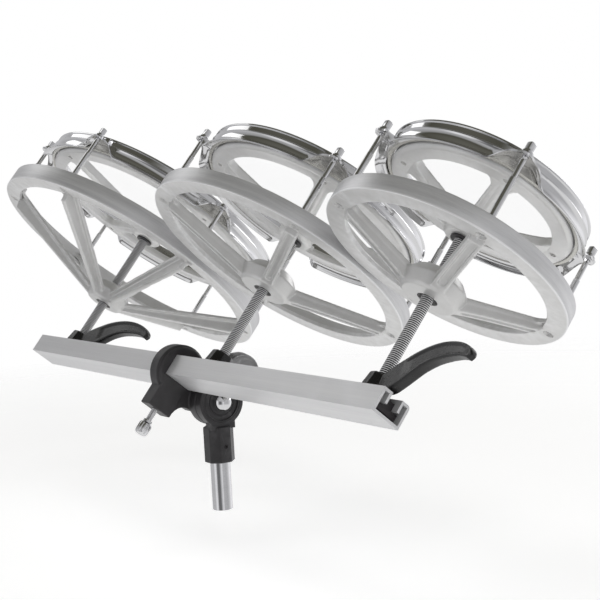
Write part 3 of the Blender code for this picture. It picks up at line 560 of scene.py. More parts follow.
# %% Plain metals
def metal(name, dark, pale, roughness, size=900.0, stretch=(1, 1, 1), turned_piece=True, depth=0.00002,
          metallic=1.0):
    """Metal with streaks round its axis, or along one direction of the row frame."""
    material, tree, shader, space = new_finish(name)
    lay = effect(tree, "turned", space).outputs["Vector"] if turned_piece else space
    streaks = effect(tree, "streaks", lay, Stretch=stretch, Size=size)
    smudges = effect(tree, "smudges", space, Size=30.0)
    tone = spread(tree, streaks.outputs["Tone"], 0.35, 0.65)
    tree.links.new(blend(tree, tone, dark, pale), shader.inputs["Base Color"])
    low, high = roughness
    sheen_and_wear = maths(tree, "ADD", maths(tree, "MULTIPLY", smudges.outputs["Mask"], 0.6),
                 maths(tree, "MULTIPLY", tone, 0.4))
    tree.links.new(spread(tree, sheen_and_wear, 0.0, 1.0, low, high), shader.inputs["Roughness"])
    shader.inputs["Metallic"].default_value = metallic
    bumped(tree, shader, streaks.outputs["Height"], depth)
    return material


def threaded_metal(name, crest, root):
    """Bright zinc with painted shade: its thread roots are painted near black."""
    material, tree, shader, space = new_finish(name)
    smudges = effect(tree, "smudges", space, Size=60.0)
    radius = effect(tree, "turned", space).outputs["Radius"]
    proud = spread(tree, radius, root, crest)
    bright = blend(tree, smudges.outputs["Mask"], (0.92, 0.92, 0.93), (0.98, 0.98, 0.99))
    # painted shade: from crest to root the colour falls to near black
    tree.links.new(blend(tree, proud, (0.02, 0.02, 0.02), bright), shader.inputs["Base Color"])
    tree.links.new(spread(tree, smudges.outputs["Mask"], 0.0, 1.0, 0.2, 0.3), shader.inputs["Roughness"])
    shader.inputs["Metallic"].default_value = 0.5
    return material


CHROME = metal("chrome", (0.76, 0.76, 0.77), (0.84, 0.84, 0.85), (0.05, 0.13), 700.0, depth=0.000003)
ZINC = metal("zinc_steel", (0.62, 0.61, 0.60), (0.76, 0.75, 0.74), (0.2, 0.32), 1400.0)
SPINDLE_ZINC = threaded_metal("spindle_zinc", 0.00472, 0.0043)
BLACKED = metal("blacked_steel", (0.028, 0.026, 0.028), (0.055, 0.05, 0.052), (0.34, 0.5), 1200.0,
                metallic=0.6)
RAIL_SKIN = metal("rail_aluminium", (0.66, 0.66, 0.67), (0.74, 0.74, 0.745), (0.34, 0.44), 1600.0,
                  (0.012, 1, 1), turned_piece=False, depth=0.00003, metallic=0.5)
COLLAR_METAL = metal("collar_aluminium", (0.60, 0.59, 0.55), (0.72, 0.71, 0.67), (0.22, 0.34), 1500.0,
                     metallic=0.85)
print("Metals:", ", ".join(m.name for m in (CHROME, ZINC, BLACKED, RAIL_SKIN, COLLAR_METAL)))

# %% Moulded plastic and clear film
def moulded_plastic(name, dark, pale, roughness, coat, grain=1500.0, depth=0.00005):
    material, tree, shader, space = new_finish(name)
    skin = effect(tree, "skin", space, Size=grain)
    edge_highlight = effect(tree, "edge_highlight", space, Reach=0.08)
    smudges = effect(tree, "smudges", space, Size=45.0)
    tone = blend(tree, spread(tree, skin.outputs["Tone"], 0.3, 0.7), dark, pale)
    # painted highlight: edges that stand proud are painted a paler grey
    edge_highlight_share = maths(tree, "MULTIPLY", edge_highlight.outputs["Mask"], 0.5)
    tree.links.new(blend(tree, edge_highlight_share, tone, (0.09, 0.09, 0.092)), shader.inputs["Base Color"])
    low, high = roughness
    tree.links.new(spread(tree, smudges.outputs["Mask"], 0.0, 1.0, low, high), shader.inputs["Roughness"])
    shader.inputs["Coat Weight"].default_value = coat
    shader.inputs["Coat Roughness"].default_value = 0.2
    bumped(tree, shader, skin.outputs["Height"], depth)
    return material


LEVER_BLACK = moulded_plastic("lever_black", (0.005, 0.005, 0.005), (0.010, 0.010, 0.010),
                              (0.2, 0.32), 0.15)
TILTER_BLACK = moulded_plastic("tilter_black", (0.018, 0.017, 0.018), (0.032, 0.030, 0.032),
                               (0.36, 0.5), 0.1)


def clear_film(name):
    """A clear head is nearly unseen face on, and its gloss grows towards its rim."""
    material, tree, shader, space = new_finish(name)
    smudges = effect(tree, "smudges", space, Size=14.0)
    facing = node(tree, "LayerWeight", {"Blend": 0.35}).outputs["Fresnel"]
    edge = spread(tree, facing, 0.0, 1.0, 0.006, 0.07)
    haze = maths(tree, "MULTIPLY", smudges.outputs["Mask"], 0.004)
    tree.links.new(maths(tree, "ADD", edge, haze), shader.inputs["Alpha"])
    tree.links.new(blend(tree, smudges.outputs["Mask"], (0.80, 0.82, 0.83), (0.88, 0.90, 0.91)),
                   shader.inputs["Base Color"])
    tree.links.new(spread(tree, smudges.outputs["Mask"], 0.0, 1.0, 0.05, 0.16), shader.inputs["Roughness"])
    return material


FILM = clear_film("head_film_clear")
print("Plastics and film are ready")

# %% [markdown]
# ## Showing a piece
#
# A finished mesh becomes one named piece. It stands for its imported solid, moves
# with the same body, and takes its finish. Edges of hard pieces get
# a narrow bevel, because no real edge is perfectly sharp, and it is the bevel
# that catches the light.

# %% One function that shows any piece
def keep_own_space(mesh):
    """Stores where each point lies before the piece is placed."""
    own = mesh.attributes.new("own space", "FLOAT_VECTOR", "POINT")
    own.data.foreach_set("vector", [part for vertex in mesh.vertices for part in vertex.co])


def break_edges(piece, width):
    edge = piece.modifiers.new("edge", "BEVEL")
    edge.width = width
    edge.segments = 2
    edge.limit_method = "ANGLE"
    edge.angle_limit = HIDDEN_EDGE
    edge.harden_normals = True


def show(name, mesh, body, material, stands_for=(), place=identity, bevel=0.0, sharp=HIDDEN_EDGE):
    mesh.name = name
    keep_own_space(mesh)
    mesh.transform(place)
    mesh.materials.clear()
    mesh.materials.append(material)
    mesh.shade_smooth()
    mesh.set_sharp_from_angle(angle=sharp)
    piece = bpy.data.objects.new(name, mesh)
    scene.collection.objects.link(piece)
    if bevel:
        break_edges(piece, bevel)
    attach(piece, body)
    if stands_for:
        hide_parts(*stands_for)
    print(f"{name}: {len(mesh.vertices)} points")
    return piece


print("Pieces can be shown")

# %% [markdown]
# ## The lower frames
#
# The lower frame is one casting: a hub that runs on the spindle, bars that slope
# up to a ring, and a hollow ring that takes the tension rods. Each part alone is
# a simple skin. What makes a casting look cast is the soft corner where two of
# them meet, so the hub and bars are joined first and softened on an even grid,
# and the ring is added after.

# %% Bars of the lower frame
SPOKE_ROOT = 0.005
FILLET = 0.009
FILLET_STEPS = 8
GROOVE_RIM = 0.0029
GROOVE_DEPTH = 0.0026


def bar(stations):
    """A T-shaped bar along +X. A station is its reach, half width, half width of the
    rib, and the heights of the top, the underside and the rib's underside."""
    return skinned([[(reach, -half, under), (reach, -half, top), (reach, half, top), (reach, half, under),
                     (reach, rib, under), (reach, rib, low), (reach, -rib, low), (reach, -rib, under)]
                    for reach, half, rib, top, under, low in stations])


def rounding(corner, half, radius):
    turns = [pi / 2 * i / FILLET_STEPS for i in range(1, FILLET_STEPS + 1)]
    return [(corner + radius * sin(a), half + radius * (1 - cos(a))) for a in turns]


def lower_heights(drum, reach):
    start = drum.hub_foot - SPOKE_ROOT
    inner_edge = drum.ring_radius - RING_WIDTH
    t = (reach - start) / (inner_edge - start)
    top_at_ring = drum.ring_floor + RING_FLOOR + drum.spoke_rise
    rib_at_hub = drum.hub_floor + CLEAR
    top = drum.spoke_top_at_hub + (top_at_ring - drum.spoke_top_at_hub) * t
    return top, rib_at_hub + (drum.ring_floor - drum.rib_drop - rib_at_hub) * t ** drum.rib_bend


def lower_bar(drum):
    start = drum.hub_foot - SPOKE_ROOT
    inner_edge = drum.ring_radius - RING_WIDTH
    corner = inner_edge - FILLET
    line = [(start + (corner - start) * i / 12, drum.spoke_half) for i in range(13)]
    stations = []
    for reach, half in line + rounding(corner, drum.spoke_half, FILLET):
        top, low = lower_heights(drum, reach)
        stations.append((reach, half, drum.rib_half, top, top - RING_FLOOR, low))
    end_top = stations[-1][3]
    end_under = end_top - RING_FLOOR + CLEAR
    for reach in (inner_edge + drum.rib_run_out, drum.ring_radius - RING_WALL / 2):
        if reach > stations[-1][0] + CLEAR:
            stations.append((reach, drum.spoke_half, drum.rib_half, end_top, end_under, end_under - CLEAR))
    return bar(stations)


def bar_groove(drum):
    """The round-ended channel under a thick bar, as a cutter."""
    half_width, steps = drum.rib_half - GROOVE_RIM, 6
    start = drum.hub_foot + 0.003 + half_width
    end = drum.ring_radius - RING_WIDTH - 0.0015 - half_width
    turns = [pi / 2 * i / steps for i in range(steps)]
    near = [(start - half_width * sin(a), half_width * cos(a)) for a in reversed(turns)]
    far = [(end + half_width * sin(a), half_width * cos(a)) for a in turns]
    line = [(start + (end - start) * i / 12, half_width) for i in range(1, 12)]
    sections = []
    for reach, half in near + line + far:
        top, low = lower_heights(drum, reach)
        ceiling = low + min(GROOVE_DEPTH, 0.4 * (top - low))
        sections.append([(reach, y, z) for y, z in ((-half, low - half_width), (-half, ceiling),
                                                    (half, ceiling), (half, low - half_width))])
    return skinned(sections)


print("Bars and grooves are ready")

# %% One lower casting
CAST_GRID = 0.0011
FINE_GRID = 0.0008
RING_SIDES = 192
BOSS_RADIUS = 0.0062
ROD_HOLE = 0.0026
COUNTERSINK = 0.0046
INSERT_BORE = 0.0085


def rounded(low, high, inner, outer, radius, steps=3):
    """Closed outline of a ring's section whose two outer corners are rounded."""
    turns = [pi / 2 * i / steps for i in range(steps + 1)]
    under = [(outer - radius + radius * sin(a), low + radius - radius * cos(a)) for a in turns]
    over = [(outer - radius + radius * cos(a), high - radius + radius * sin(a)) for a in turns]
    return [(inner, low), *under, *over]


def lower_casting(drum):
    outer, floor = drum.ring_radius, drum.ring_floor
    inner, wall, top = outer - RING_WIDTH, outer - RING_WALL, floor + drum.ring_height
    hollow = floor + RING_FLOOR
    ring = turned_ring(rounded(floor, top, inner + 0.0005, outer, 0.0006)
                       + [(wall, top), (wall - 0.0012, hollow), (inner + 0.0005, hollow),
                          (inner, hollow - 0.0005), (inner, floor + 0.0005)], RING_SIDES)
    low, high = drum.hub_floor, drum.hub_floor + LOWER_HUB_HEIGHT
    hub = turned([(drum.hub_foot - 0.002, low), (drum.hub_foot, low + 0.002), (drum.hub_waist, low + 0.012),
                  (drum.hub_top + 0.004, high - 0.002), (drum.hub_top, high)], 64)
    bars = [about_z(lower_bar(drum), angle) for angle in drum.rod_angles()]
    spider = combine(hub, bars)
    if drum.grooved:
        spider = cut(spider, [about_z(bar_groove(drum), angle) for angle in drum.rod_angles()])
    spider = softened(spider, FINE_GRID if drum.grooved else CAST_GRID)
    boss = [(BOSS_RADIUS, floor + RING_FLOOR / 2), (BOSS_RADIUS - 0.0004, top - RING_FLOOR / 2)]
    solid = combine(ring, at_each_rod(drum, boss, 32) + [spider])
    drills = at_each_rod(drum, [(ROD_HOLE, low), (ROD_HOLE, top + RING_WALL)])
    countersinks = at_each_rod(drum, [(COUNTERSINK, floor - 0.0004), (COUNTERSINK - 0.001, floor + 0.0016)])
    bore = turned([(INSERT_BORE, low - RING_WALL), (INSERT_BORE, high + RING_WALL)], 48)
    return cut(solid, drills + countersinks + [bore])


for drum in DRUMS:
    show(drum.side + "_lower_casting", lower_casting(drum), drum.side + "_tuning_body",
         CASTINGS[drum.side][0], [drum.side + "_lower_frame"], drum.place(),
         sharp=CAST_EDGE)

# %% [markdown]
# ## The upper frames
#
# The upper frame looks like the lower one turned over: its hub sits high on the
# spindle, and lighter bars slope down to the rim that the head is stretched over.
# The rim is hollow on its upper side, and has the chamfer that real bearing edges
# have. A small blind hole is let into its underside at each bar.

# %% One upper casting
UPPER_HUB_RADIUS = 0.0165
UPPER_HUB_HEIGHT = 0.018
UPPER_BAR_HALF = 0.0065
UPPER_BAR_DEPTH = 0.0085
UPPER_RIB_HALF = 0.0025
UPPER_RIB_DEPTH = 0.0025
UPPER_FILLET = 0.012
BUSH_BORE = 0.0068
MARK_RADIUS = 0.0026
MARK_INSET = 0.0096
MARK_DEPTH = 0.0022


def upper_bar(drum):
    start = UPPER_HUB_RADIUS - SPOKE_ROOT
    inner_edge = drum.rim_radius - RIM_WIDTH
    corner = inner_edge - UPPER_FILLET
    at_hub = drum.upper_hub_floor + UPPER_HUB_HEIGHT - CLEAR
    at_rim = drum.rim_floor + UPPER_BAR_DEPTH + CLEAR
    line = [(start + (corner - start) * i / 6, UPPER_BAR_HALF) for i in range(7)]
    stations = []
    for reach, half in line + rounding(corner, UPPER_BAR_HALF, UPPER_FILLET):
        t = (reach - start) / (inner_edge - start)
        top = at_hub + (at_rim - at_hub) * t
        under = top - UPPER_BAR_DEPTH
        stations.append((reach, half, UPPER_RIB_HALF, top, under,
                         under - UPPER_RIB_DEPTH * (1 - t) - CLEAR))
    under = at_rim - UPPER_BAR_DEPTH + CLEAR
    stations.append((drum.rim_radius - RIM_WALL / 2, UPPER_BAR_HALF, UPPER_RIB_HALF, at_rim, under + CLEAR,
                     under))
    return bar(stations)


def upper_casting(drum):
    outer, floor, top = drum.rim_radius, drum.rim_floor, drum.rim_top
    inner, wall = outer - RIM_WIDTH, outer - RIM_WALL
    rim = turned_ring([(inner + 0.0005, floor), (outer - 0.0033, floor), (outer - 0.0027, floor + 0.0003),
                       (outer - 0.0003, floor + 0.0027), (outer, floor + 0.0034), (outer, top - 0.001),
                       (outer - 0.001, top), (wall, top - 0.0004), (wall - 0.0008, floor + RIM_FLOOR),
                       (inner + 0.0005, floor + RIM_FLOOR), (inner, floor + RIM_FLOOR - 0.0005),
                       (inner, floor + 0.0005)], RING_SIDES)
    low, high = drum.upper_hub_floor, drum.upper_hub_floor + UPPER_HUB_HEIGHT
    hub = turned([(UPPER_HUB_RADIUS - 0.0025, low), (UPPER_HUB_RADIUS, low + 0.0025),
                  (UPPER_HUB_RADIUS, high - 0.0025), (UPPER_HUB_RADIUS - 0.0025, high)], 64)
    bars = [about_z(upper_bar(drum), angle) for angle in drum.upper_angles()]
    solid = combine(rim, [softened(combine(hub, bars), CAST_GRID)])
    bore = turned([(BUSH_BORE, low - 0.003), (BUSH_BORE, drum.spindle_shoulder + 0.0148)], 48)
    marks = [about_z(turned([(MARK_RADIUS, floor - 0.003), (MARK_RADIUS, floor + MARK_DEPTH)], 24), angle,
                     (outer - MARK_INSET, 0, 0)) for angle in drum.upper_angles()]
    return cut(solid, [bore] + marks)


for drum in DRUMS:
    show(drum.side + "_upper_casting", upper_casting(drum), drum.side + "_drum_body",
         CASTINGS[drum.side][1], [drum.side + "_upper_frame"], drum.place(),
         sharp=CAST_EDGE)

# %% [markdown]
# ## The hoops
#
# A pressed hoop is one sheet of steel: a rolled top, a bead, and a skirt whose lower
# edge flares out. At each tension rod the press has lifted that edge and drawn it
# out into an ear. So the hoop is one skin round the drum whose outline changes
# as it nears an ear, and no ear is stuck on afterwards.

# %% Outline of a hoop at one place round it
EAR_HALF = 0.0055
EAR_END = 0.0062
GUSSET = 0.026
FLARE = 0.0054
FLARE_HEIGHT = 0.004
BEAD = 0.001
EAR_SHEET = 0.0019


def ease(t):
    t = min(max(t, 0.0), 1.0)
    return t * t * (3 - 2 * t)


def mixed(a, b, t):
    return a + (b - a) * t


def ear_reach(drum, away):
    """How far out the skirt's edge stands, at a distance from an ear's middle."""
    flare = drum.hoop_radius + FLARE
    tip = drum.rod_circle + sqrt(EAR_END ** 2 - min(away, EAR_HALF) ** 2)
    if away <= EAR_HALF:
        return tip
    t = (away - EAR_HALF) / (GUSSET - EAR_HALF)
    return mixed(tip, flare, min(t, 1.0) ** 0.62 if t < 1 else 1.0)


def hoop_outline(drum, away):
    """Closed (radius, height) outline. away is the distance along the rod circle."""
    ear = 1 - ease((away - EAR_HALF) / (GUSSET - EAR_HALF))
    outer, shoulder, top = drum.hoop_radius, drum.shoulder, drum.hoop_top
    band, inside = outer - BEAD, outer - HOOP_WALL
    press = drum.flesh_outer - FLESH_WIDTH / 2
    bend = mixed(shoulder - SKIRT_HEIGHT, drum.ear_top - 0.0003, ear)
    edge = mixed(bend - FLARE_HEIGHT, drum.ear_top - 0.0006, ear)
    reach = ear_reach(drum, away)
    bead = BEAD * (1 - ear)
    thick = mixed(SHEET, EAR_SHEET, ear)
    under = mixed(bend - 0.0004, drum.ear_top - thick, ear)
    curve = [(mixed(outer, reach, t), mixed(bend, edge, t ** 1.6)) for t in (0.12, 0.35, 0.65, 0.9)]
    below = [(r - (1 - ear) * thick * 0.75, z - mixed(0.0006, thick - 0.0006, ear)) for r, z in curve]
    return [(press, top - 0.0004), (press + 0.0004, top), (outer - 0.0006, top), (outer, top - 0.0006),
            (outer, top - 0.0016), (band, top - 0.0024), (band, shoulder + 0.0022),
            (mixed(outer, band, 0.5), shoulder + 0.0019),
            (outer + 0.7 * bead, shoulder + 0.0008 + 0.001 * ear),
            (outer + bead, shoulder + 0.0016 * ear), (outer + 0.6 * bead, shoulder - 0.0007 + 0.0022 * ear),
            (outer, shoulder - 0.0013 + 0.0027 * ear), (outer, bend + 0.0006 * (1 - ear)), *curve,
            (reach, edge), (reach - 0.3 * thick, edge - mixed(0.0008, 0.9 * thick, ear)),
            *reversed(below), (inside, under), (inside, shoulder), (press, shoulder)]


print("Points in a hoop's outline:", len(hoop_outline(DRUMS[0], 0.0)))

# %% The hoops and their ears
def hoop_angles(drum):
    """Angles round a hoop with the distance to the nearest ear, closest together at the ears."""
    offsets = [-GUSSET, -0.0235, -0.021, -0.0185, -0.016, -0.0135, -0.011, -0.009, -0.0072, -EAR_HALF,
               -0.0052, -0.0045, -0.0034, -0.0018, 0.0]
    offsets += [-d for d in reversed(offsets[:-1])]
    near = [offset / drum.rod_circle for offset in offsets]
    gap = tau / drum.rods - 2 * near[-1]
    free = int(gap / radians(2.5))
    turns = []
    for start in drum.rod_angles():
        turns += [(start + a, abs(a) * drum.rod_circle) for a in near]
        turns += [(start + near[-1] + gap * i / free, GUSSET) for i in range(1, free)]
    return turns


def hoop(drum):
    sections = [[(radius * cos(angle), radius * sin(angle), height)
                 for radius, height in hoop_outline(drum, away)] for angle, away in hoop_angles(drum)]
    body = skinned(sections, around=True)
    return cut(body, at_each_rod(drum, [(ROD_HOLE, drum.ear_top - 0.01), (ROD_HOLE, drum.ear_top + 0.01)]))


for drum in DRUMS:
    show(drum.side + "_chrome_hoop", hoop(drum), drum.side + "_tuning_body", CHROME,
         [drum.side + "_hoop"], drum.place(), sharp=CHROMED_EDGE)

# %% [markdown]
# ## Tension rods
#
# A tension rod is a bolt with a square head for a drum key. The upper length is a
# plain shank, and a chromed sleeve covers the thread below it. The square head is
# skinned straight onto the round washer: eight points go round both shapes.

# %% Rods with square key heads
SHANK_LENGTH = 0.020


def square(half, height, soft=0.0):
    """Twenty-four points round a square with rounded corners."""
    points = []
    for i in range(24):
        a = tau * i / 24
        reach = 1 / max(abs(cos(a)), abs(sin(a)))
        reach = min(reach, sqrt(2) - soft)
        points.append((half * reach * cos(a), half * reach * sin(a), height))
    return points


def tension_rod(drum):
    end = drum.ring_floor + 0.002
    sleeve_low = drum.ring_floor + drum.ring_height - RING_FLOOR / 2 + CLEAR
    sleeve_top = drum.ear_top - SHANK_LENGTH
    low = drum.ear_top + CLEAR
    high = low + 0.002
    top = high + 0.008
    rod, sleeve, washer, head = 0.0022, 0.0026, 0.0048, 0.0027
    rounds = [(rod - 0.0005, end), (rod, end + 0.0005), (rod, sleeve_low), (sleeve - 0.0003, sleeve_low),
              (sleeve, sleeve_low + 0.0003), (sleeve, sleeve_top - 0.0003), (sleeve - 0.0003, sleeve_top),
              (rod, sleeve_top + 0.0002), (rod, low), (washer - 0.0004, low), (washer, low + 0.0004),
              (washer, high - 0.0005), (washer - 0.0008, high), (0.0036, high + 0.0001),
              (0.0034, high + 0.0014)]
    sections = [circle(radius, height, 24) for radius, height in rounds]
    sections += [square(head, high + 0.0016, 0.12), square(head, top - 0.0009, 0.12),
                 square(head - 0.0003, top - 0.0004, 0.16), square(head - 0.0009, top, 0.2)]
    return skinned(sections)


for drum in DRUMS:
    for number, angle in enumerate(drum.rod_angles(), start=1):
        spot = Matrix.Translation((drum.rod_circle * cos(angle), drum.rod_circle * sin(angle), 0))
        show(f"{drum.side}_key_rod_{number}", tension_rod(drum), drum.side + "_tuning_body", CHROME,
             [f"{drum.side}_tension_rod_{number}"], drum.place() @ spot)

# %% [markdown]
# ## Heads and their metal rings
#
# The head is a clear film whose collar is folded down and gripped by an aluminium
# ring. Seen from below, the film all but vanishes, and the pale ring shows under the
# hoop's skirt, most of all beneath the ears.

# %% Film, ring and bush
COLLAR_DEPTH = 0.0064
COLLAR_RING_DEPTH = 0.0075


def head_film(drum):
    """A thin shell: crown, collar, and the same back up the inside."""
    under = drum.rim_top + CLEAR
    over = under + FILM_THICKNESS
    inner = drum.rim_radius + CLEAR
    outer = inner + FILM_THICKNESS
    collar = drum.rim_top - COLLAR_DEPTH
    return turned([(0.0, under), (inner - 0.0008, under), (inner, under - 0.0006), (inner, collar),
                   (outer, collar), (outer, over - 0.0008), (outer - 0.0008, over), (0.0, over)], 128)


def collar_ring(drum):
    low, high = drum.rim_top - COLLAR_RING_DEPTH, drum.rim_top - CLEAR
    inner, outer = drum.flesh_outer - FLESH_WIDTH, drum.flesh_outer
    return turned_ring([(inner + 0.0004, low), (outer - 0.0006, low), (outer, low + 0.0006),
                        (outer, high - 0.0004), (outer - 0.0004, high), (inner + 0.0004, high),
                        (inner, high - 0.0004), (inner, low + 0.0004)], 160)


def hub_bush(drum):
    bore, barrel, flange = 0.0043, 0.0065, 0.0085
    low = drum.spindle_shoulder + CLEAR
    step = low + BUSH_FLANGE_HEIGHT
    high = step + 0.012
    return turned_ring([(bore, low + 0.0003), (bore + 0.0003, low), (flange - 0.0003, low),
                        (flange, low + 0.0003), (flange, step - 0.0003), (flange - 0.0003, step),
                        (barrel, step), (barrel, high), (bore, high)], 48)


for drum in DRUMS:
    body = drum.side + "_drum_body"
    show(drum.side + "_clear_head", head_film(drum), body, FILM, [drum.side + "_head_film"],
         drum.place())
    show(drum.side + "_collar_ring", collar_ring(drum), body, COLLAR_METAL,
         [drum.side + "_flesh_ring"], drum.place())
    show(drum.side + "_pivot_bush", hub_bush(drum), body, TILTER_BLACK,
         [drum.side + "_hub_bush"], drum.place())

# %% [markdown]
# ## Threaded spindles
#
# A thread is a groove that climbs one pitch in each turn. On a grid of points that
# means each column starts a little higher than the last, and the last column meets
# the first one pitch up: four rows later, where four rows make one ridge.

# %% A real helical thread
THREAD_PITCH = INCH / 16
ROWS = 4


def threaded(crest, low, high, pitch=THREAD_PITCH, sides=24):
    """A closed rod with a helical ridge between two heights."""
    root = crest - 0.55 * pitch
    ridge = (root, mixed(root, crest, 0.85), crest, mixed(root, crest, 0.75))
    rows = int((high - low) / pitch * ROWS) + 2 * ROWS
    points = []
    for k in range(-ROWS, rows):
        for i in range(sides):
            height = low + (k / ROWS + i / sides) * pitch
            radius = ridge[k % ROWS]
            a = tau * i / sides
            points.append((radius * cos(a), radius * sin(a), min(max(height, low), high)))
    faces = []
    total = rows + ROWS
    for k in range(total - ROWS - 1):
        for i in range(sides):
            j, lift = (i + 1, 0) if i + 1 < sides else (0, ROWS)
            faces.append((k * sides + i, (k + lift) * sides + j, (k + lift + 1) * sides + j,
                          (k + 1) * sides + i))
    mesh = mesh_from(points, faces)
    shape = bmesh.new()
    shape.from_mesh(mesh)
    bmesh.ops.dissolve_degenerate(shape, edges=shape.edges, dist=1e-6)
    loose = [v for v in shape.verts if not v.link_faces]
    bmesh.ops.delete(shape, geom=loose, context="VERTS")
    bmesh.ops.holes_fill(shape, edges=[e for e in shape.edges if e.is_boundary], sides=0)
    shape.to_mesh(mesh)
    shape.free()
    return mesh


SPINDLE_RADIUS = 0.00476
FOOT_RADIUS = 0.0032
JOURNAL_RADIUS = 0.004
NUT_TOP = -0.004
NUT_BOTTOM = -0.0145


def joined_meshes(meshes):
    """One mesh of several closed shells that overlap out of sight."""
    shape = bmesh.new()
    for mesh in meshes:
        shape.from_mesh(mesh)
    result = bpy.data.meshes.new("work")
    shape.to_mesh(result)
    shape.free()
    return result


for drum in DRUMS:
    start, end = NUT_TOP + CLEAR, drum.spindle_shoulder
    thread = threaded(SPINDLE_RADIUS, start, end)
    foot = turned([(FOOT_RADIUS - 0.0005, NUT_BOTTOM), (FOOT_RADIUS, NUT_BOTTOM + 0.0005),
                   (FOOT_RADIUS, start + 0.001)], 32)
    journal = turned([(JOURNAL_RADIUS, end - 0.001), (JOURNAL_RADIUS, end + 0.014),
                      (JOURNAL_RADIUS - 0.0005, end + 0.0145)], 32)
    show(drum.side + "_threaded_spindle", joined_meshes([thread, foot, journal]),
         drum.side + "_spindle_body", SPINDLE_ZINC, [drum.side + "_spindle"], drum.place(),
         sharp=radians(35))

# %% [markdown]
# ## Slide nuts and thread inserts
#
# The nut is a T-shaped bar that runs in the rail's slot, and the insert is the
# nut pressed into the lower hub. Both are dark steel and mostly out of sight, but
# the insert makes the black ring round each spindle.

# %% Nut and insert
def slide_nut():
    neck, flange = 0.005, 0.0115
    under_lips = -0.0095 - CLEAR
    outline = [(-flange, NUT_BOTTOM), (flange, NUT_BOTTOM), (flange, under_lips), (neck, under_lips),
               (neck, NUT_TOP), (-neck, NUT_TOP), (-neck, under_lips), (-flange, under_lips)]
    bore = turned([(0.0035, NUT_BOTTOM - 0.002), (0.0035, NUT_TOP + 0.002)], 32)
    return cut(extruded(outline, -0.022, 0.022), [bore])


def thread_insert(drum):
    bore, outer = SPINDLE_RADIUS + CLEAR, 0.0082
    low, high = drum.hub_floor + 0.004, drum.hub_floor + LOWER_HUB_HEIGHT - CLEAR
    return turned_ring([(bore + 0.0008, low), (outer - 0.0004, low), (outer, low + 0.0004), (outer, high),
                        (bore + 0.0008, high), (bore, high - 0.0008), (bore, low + 0.0008)], 48)


for drum in DRUMS:
    show(drum.side + "_rail_nut", slide_nut(), drum.side + "_spindle_body", BLACKED,
         [drum.side + "_slide_nut"], drum.place(), bevel=0.0004)
    show(drum.side + "_hub_insert", thread_insert(drum), drum.side + "_tuning_body", BLACKED,
         [drum.side + "_thread_insert"], drum.place())

# %% [markdown]
# ## Lock levers
#
# A lever is moulded in one piece: a faceted hub that screws down on the rail, and
# a long arm that rises clear of it and droops at its tip. The arm is skinned over
# measured stations with a smooth curve through them. Its broad faces are sunk a
# little between two rims, as mouldings are to keep their walls even.

# %% The lever's arm and hub
ARM_STATIONS = [
    ((0.008, 0.0125), (0.008, 0.0005), 0.0050), ((0.017, 0.0205), (0.024, 0.0005), 0.0046),
    ((0.027, 0.0265), (0.033, 0.0045), 0.0043), ((0.038, 0.0320), (0.043, 0.0115), 0.0042),
    ((0.052, 0.0365), (0.053, 0.0185), 0.0042), ((0.067, 0.0390), (0.066, 0.0238), 0.0042),
    ((0.082, 0.0392), (0.080, 0.0263), 0.0040), ((0.096, 0.0370), (0.094, 0.0272), 0.0036),
    ((0.106, 0.0325), (0.103, 0.0262), 0.0030), ((0.110, 0.0280), (0.107, 0.0250), 0.0020),
]
ARM_STEPS = 6
PANEL_DEPTH = 0.0011


def flowing(values, steps):
    """Points on a smooth curve through values, with steps spans between each two."""
    padded = [2 * values[0] - values[1], *values, 2 * values[-1] - values[-2]]
    curve = []
    for a, b, c, d in zip(padded, padded[1:], padded[2:], padded[3:]):
        for i in range(steps):
            t = i / steps
            curve.append(0.5 * (2 * b + (c - a) * t + (2 * a - 5 * b + 4 * c - d) * t * t
                                + (3 * b - a - 3 * c + d) * t ** 3))
    return [*curve, values[-1]]


def arm_section(over, under, half, panel):
    """Points round the arm: its two narrow edges, and broad faces with a sunk panel."""
    sink = half - PANEL_DEPTH * panel
    side = [(0.0, 0.55), (0.02, 0.85), (0.07, 1.0), (0.17, 1.0), (0.22, None), (0.5, None), (0.78, None),
            (0.83, 1.0), (0.93, 1.0), (0.98, 0.85), (1.0, 0.55)]
    face = [(t, sink if share is None else half * share) for t, share in side]
    both = face + [(t, -width) for t, width in reversed(face)]
    return [over.lerp(under, t) + Vector((0, width, 0)) for t, width in both]


def lever():
    tops = flowing([Vector((x, 0, z)) for (x, z), low, half in ARM_STATIONS], ARM_STEPS)
    lows = flowing([Vector((x, 0, z)) for top, (x, z), half in ARM_STATIONS], ARM_STEPS)
    halves = flowing([half for top, low, half in ARM_STATIONS], ARM_STEPS)
    count = len(tops) - 1
    sections = []
    for i, (over, under, half) in enumerate(zip(tops, lows, halves)):
        t = i / count
        panel = ease((t - 0.22) / 0.1) * (1 - ease((t - 0.80) / 0.12))
        sections.append(arm_section(over, under, half, panel))
    arm = skinned(sections)
    foot, top = 0.012, 0.0095
    hub = turned([(foot - 0.0008, CLEAR), (foot, CLEAR + 0.0008), (top + 0.0008, 0.0123), (top, 0.0135)], 8,
                 pi / 8)
    solid = softened(combine(hub, [arm]), 0.0007, 3)
    bore = turned([(SPINDLE_RADIUS + CLEAR, -0.01), (SPINDLE_RADIUS + CLEAR, 0.03)], 32)
    return cut(solid, [bore])


arm = lever()
for drum in DRUMS:
    turn = Matrix.Rotation(drum.lever_turn, 4, "Z")
    show(drum.side + "_lever_moulding", arm.copy(), drum.side + "_lever_body", LEVER_BLACK,
         [drum.side + "_lock_lever"], drum.place() @ turn, sharp=MOULDED_EDGE)

# %% [markdown]
# ## The rail
#
# The rail's solid already has the right outline, so it stays. It only needs its
# edges broken by a narrow bevel, and the long streaks of an extrusion.

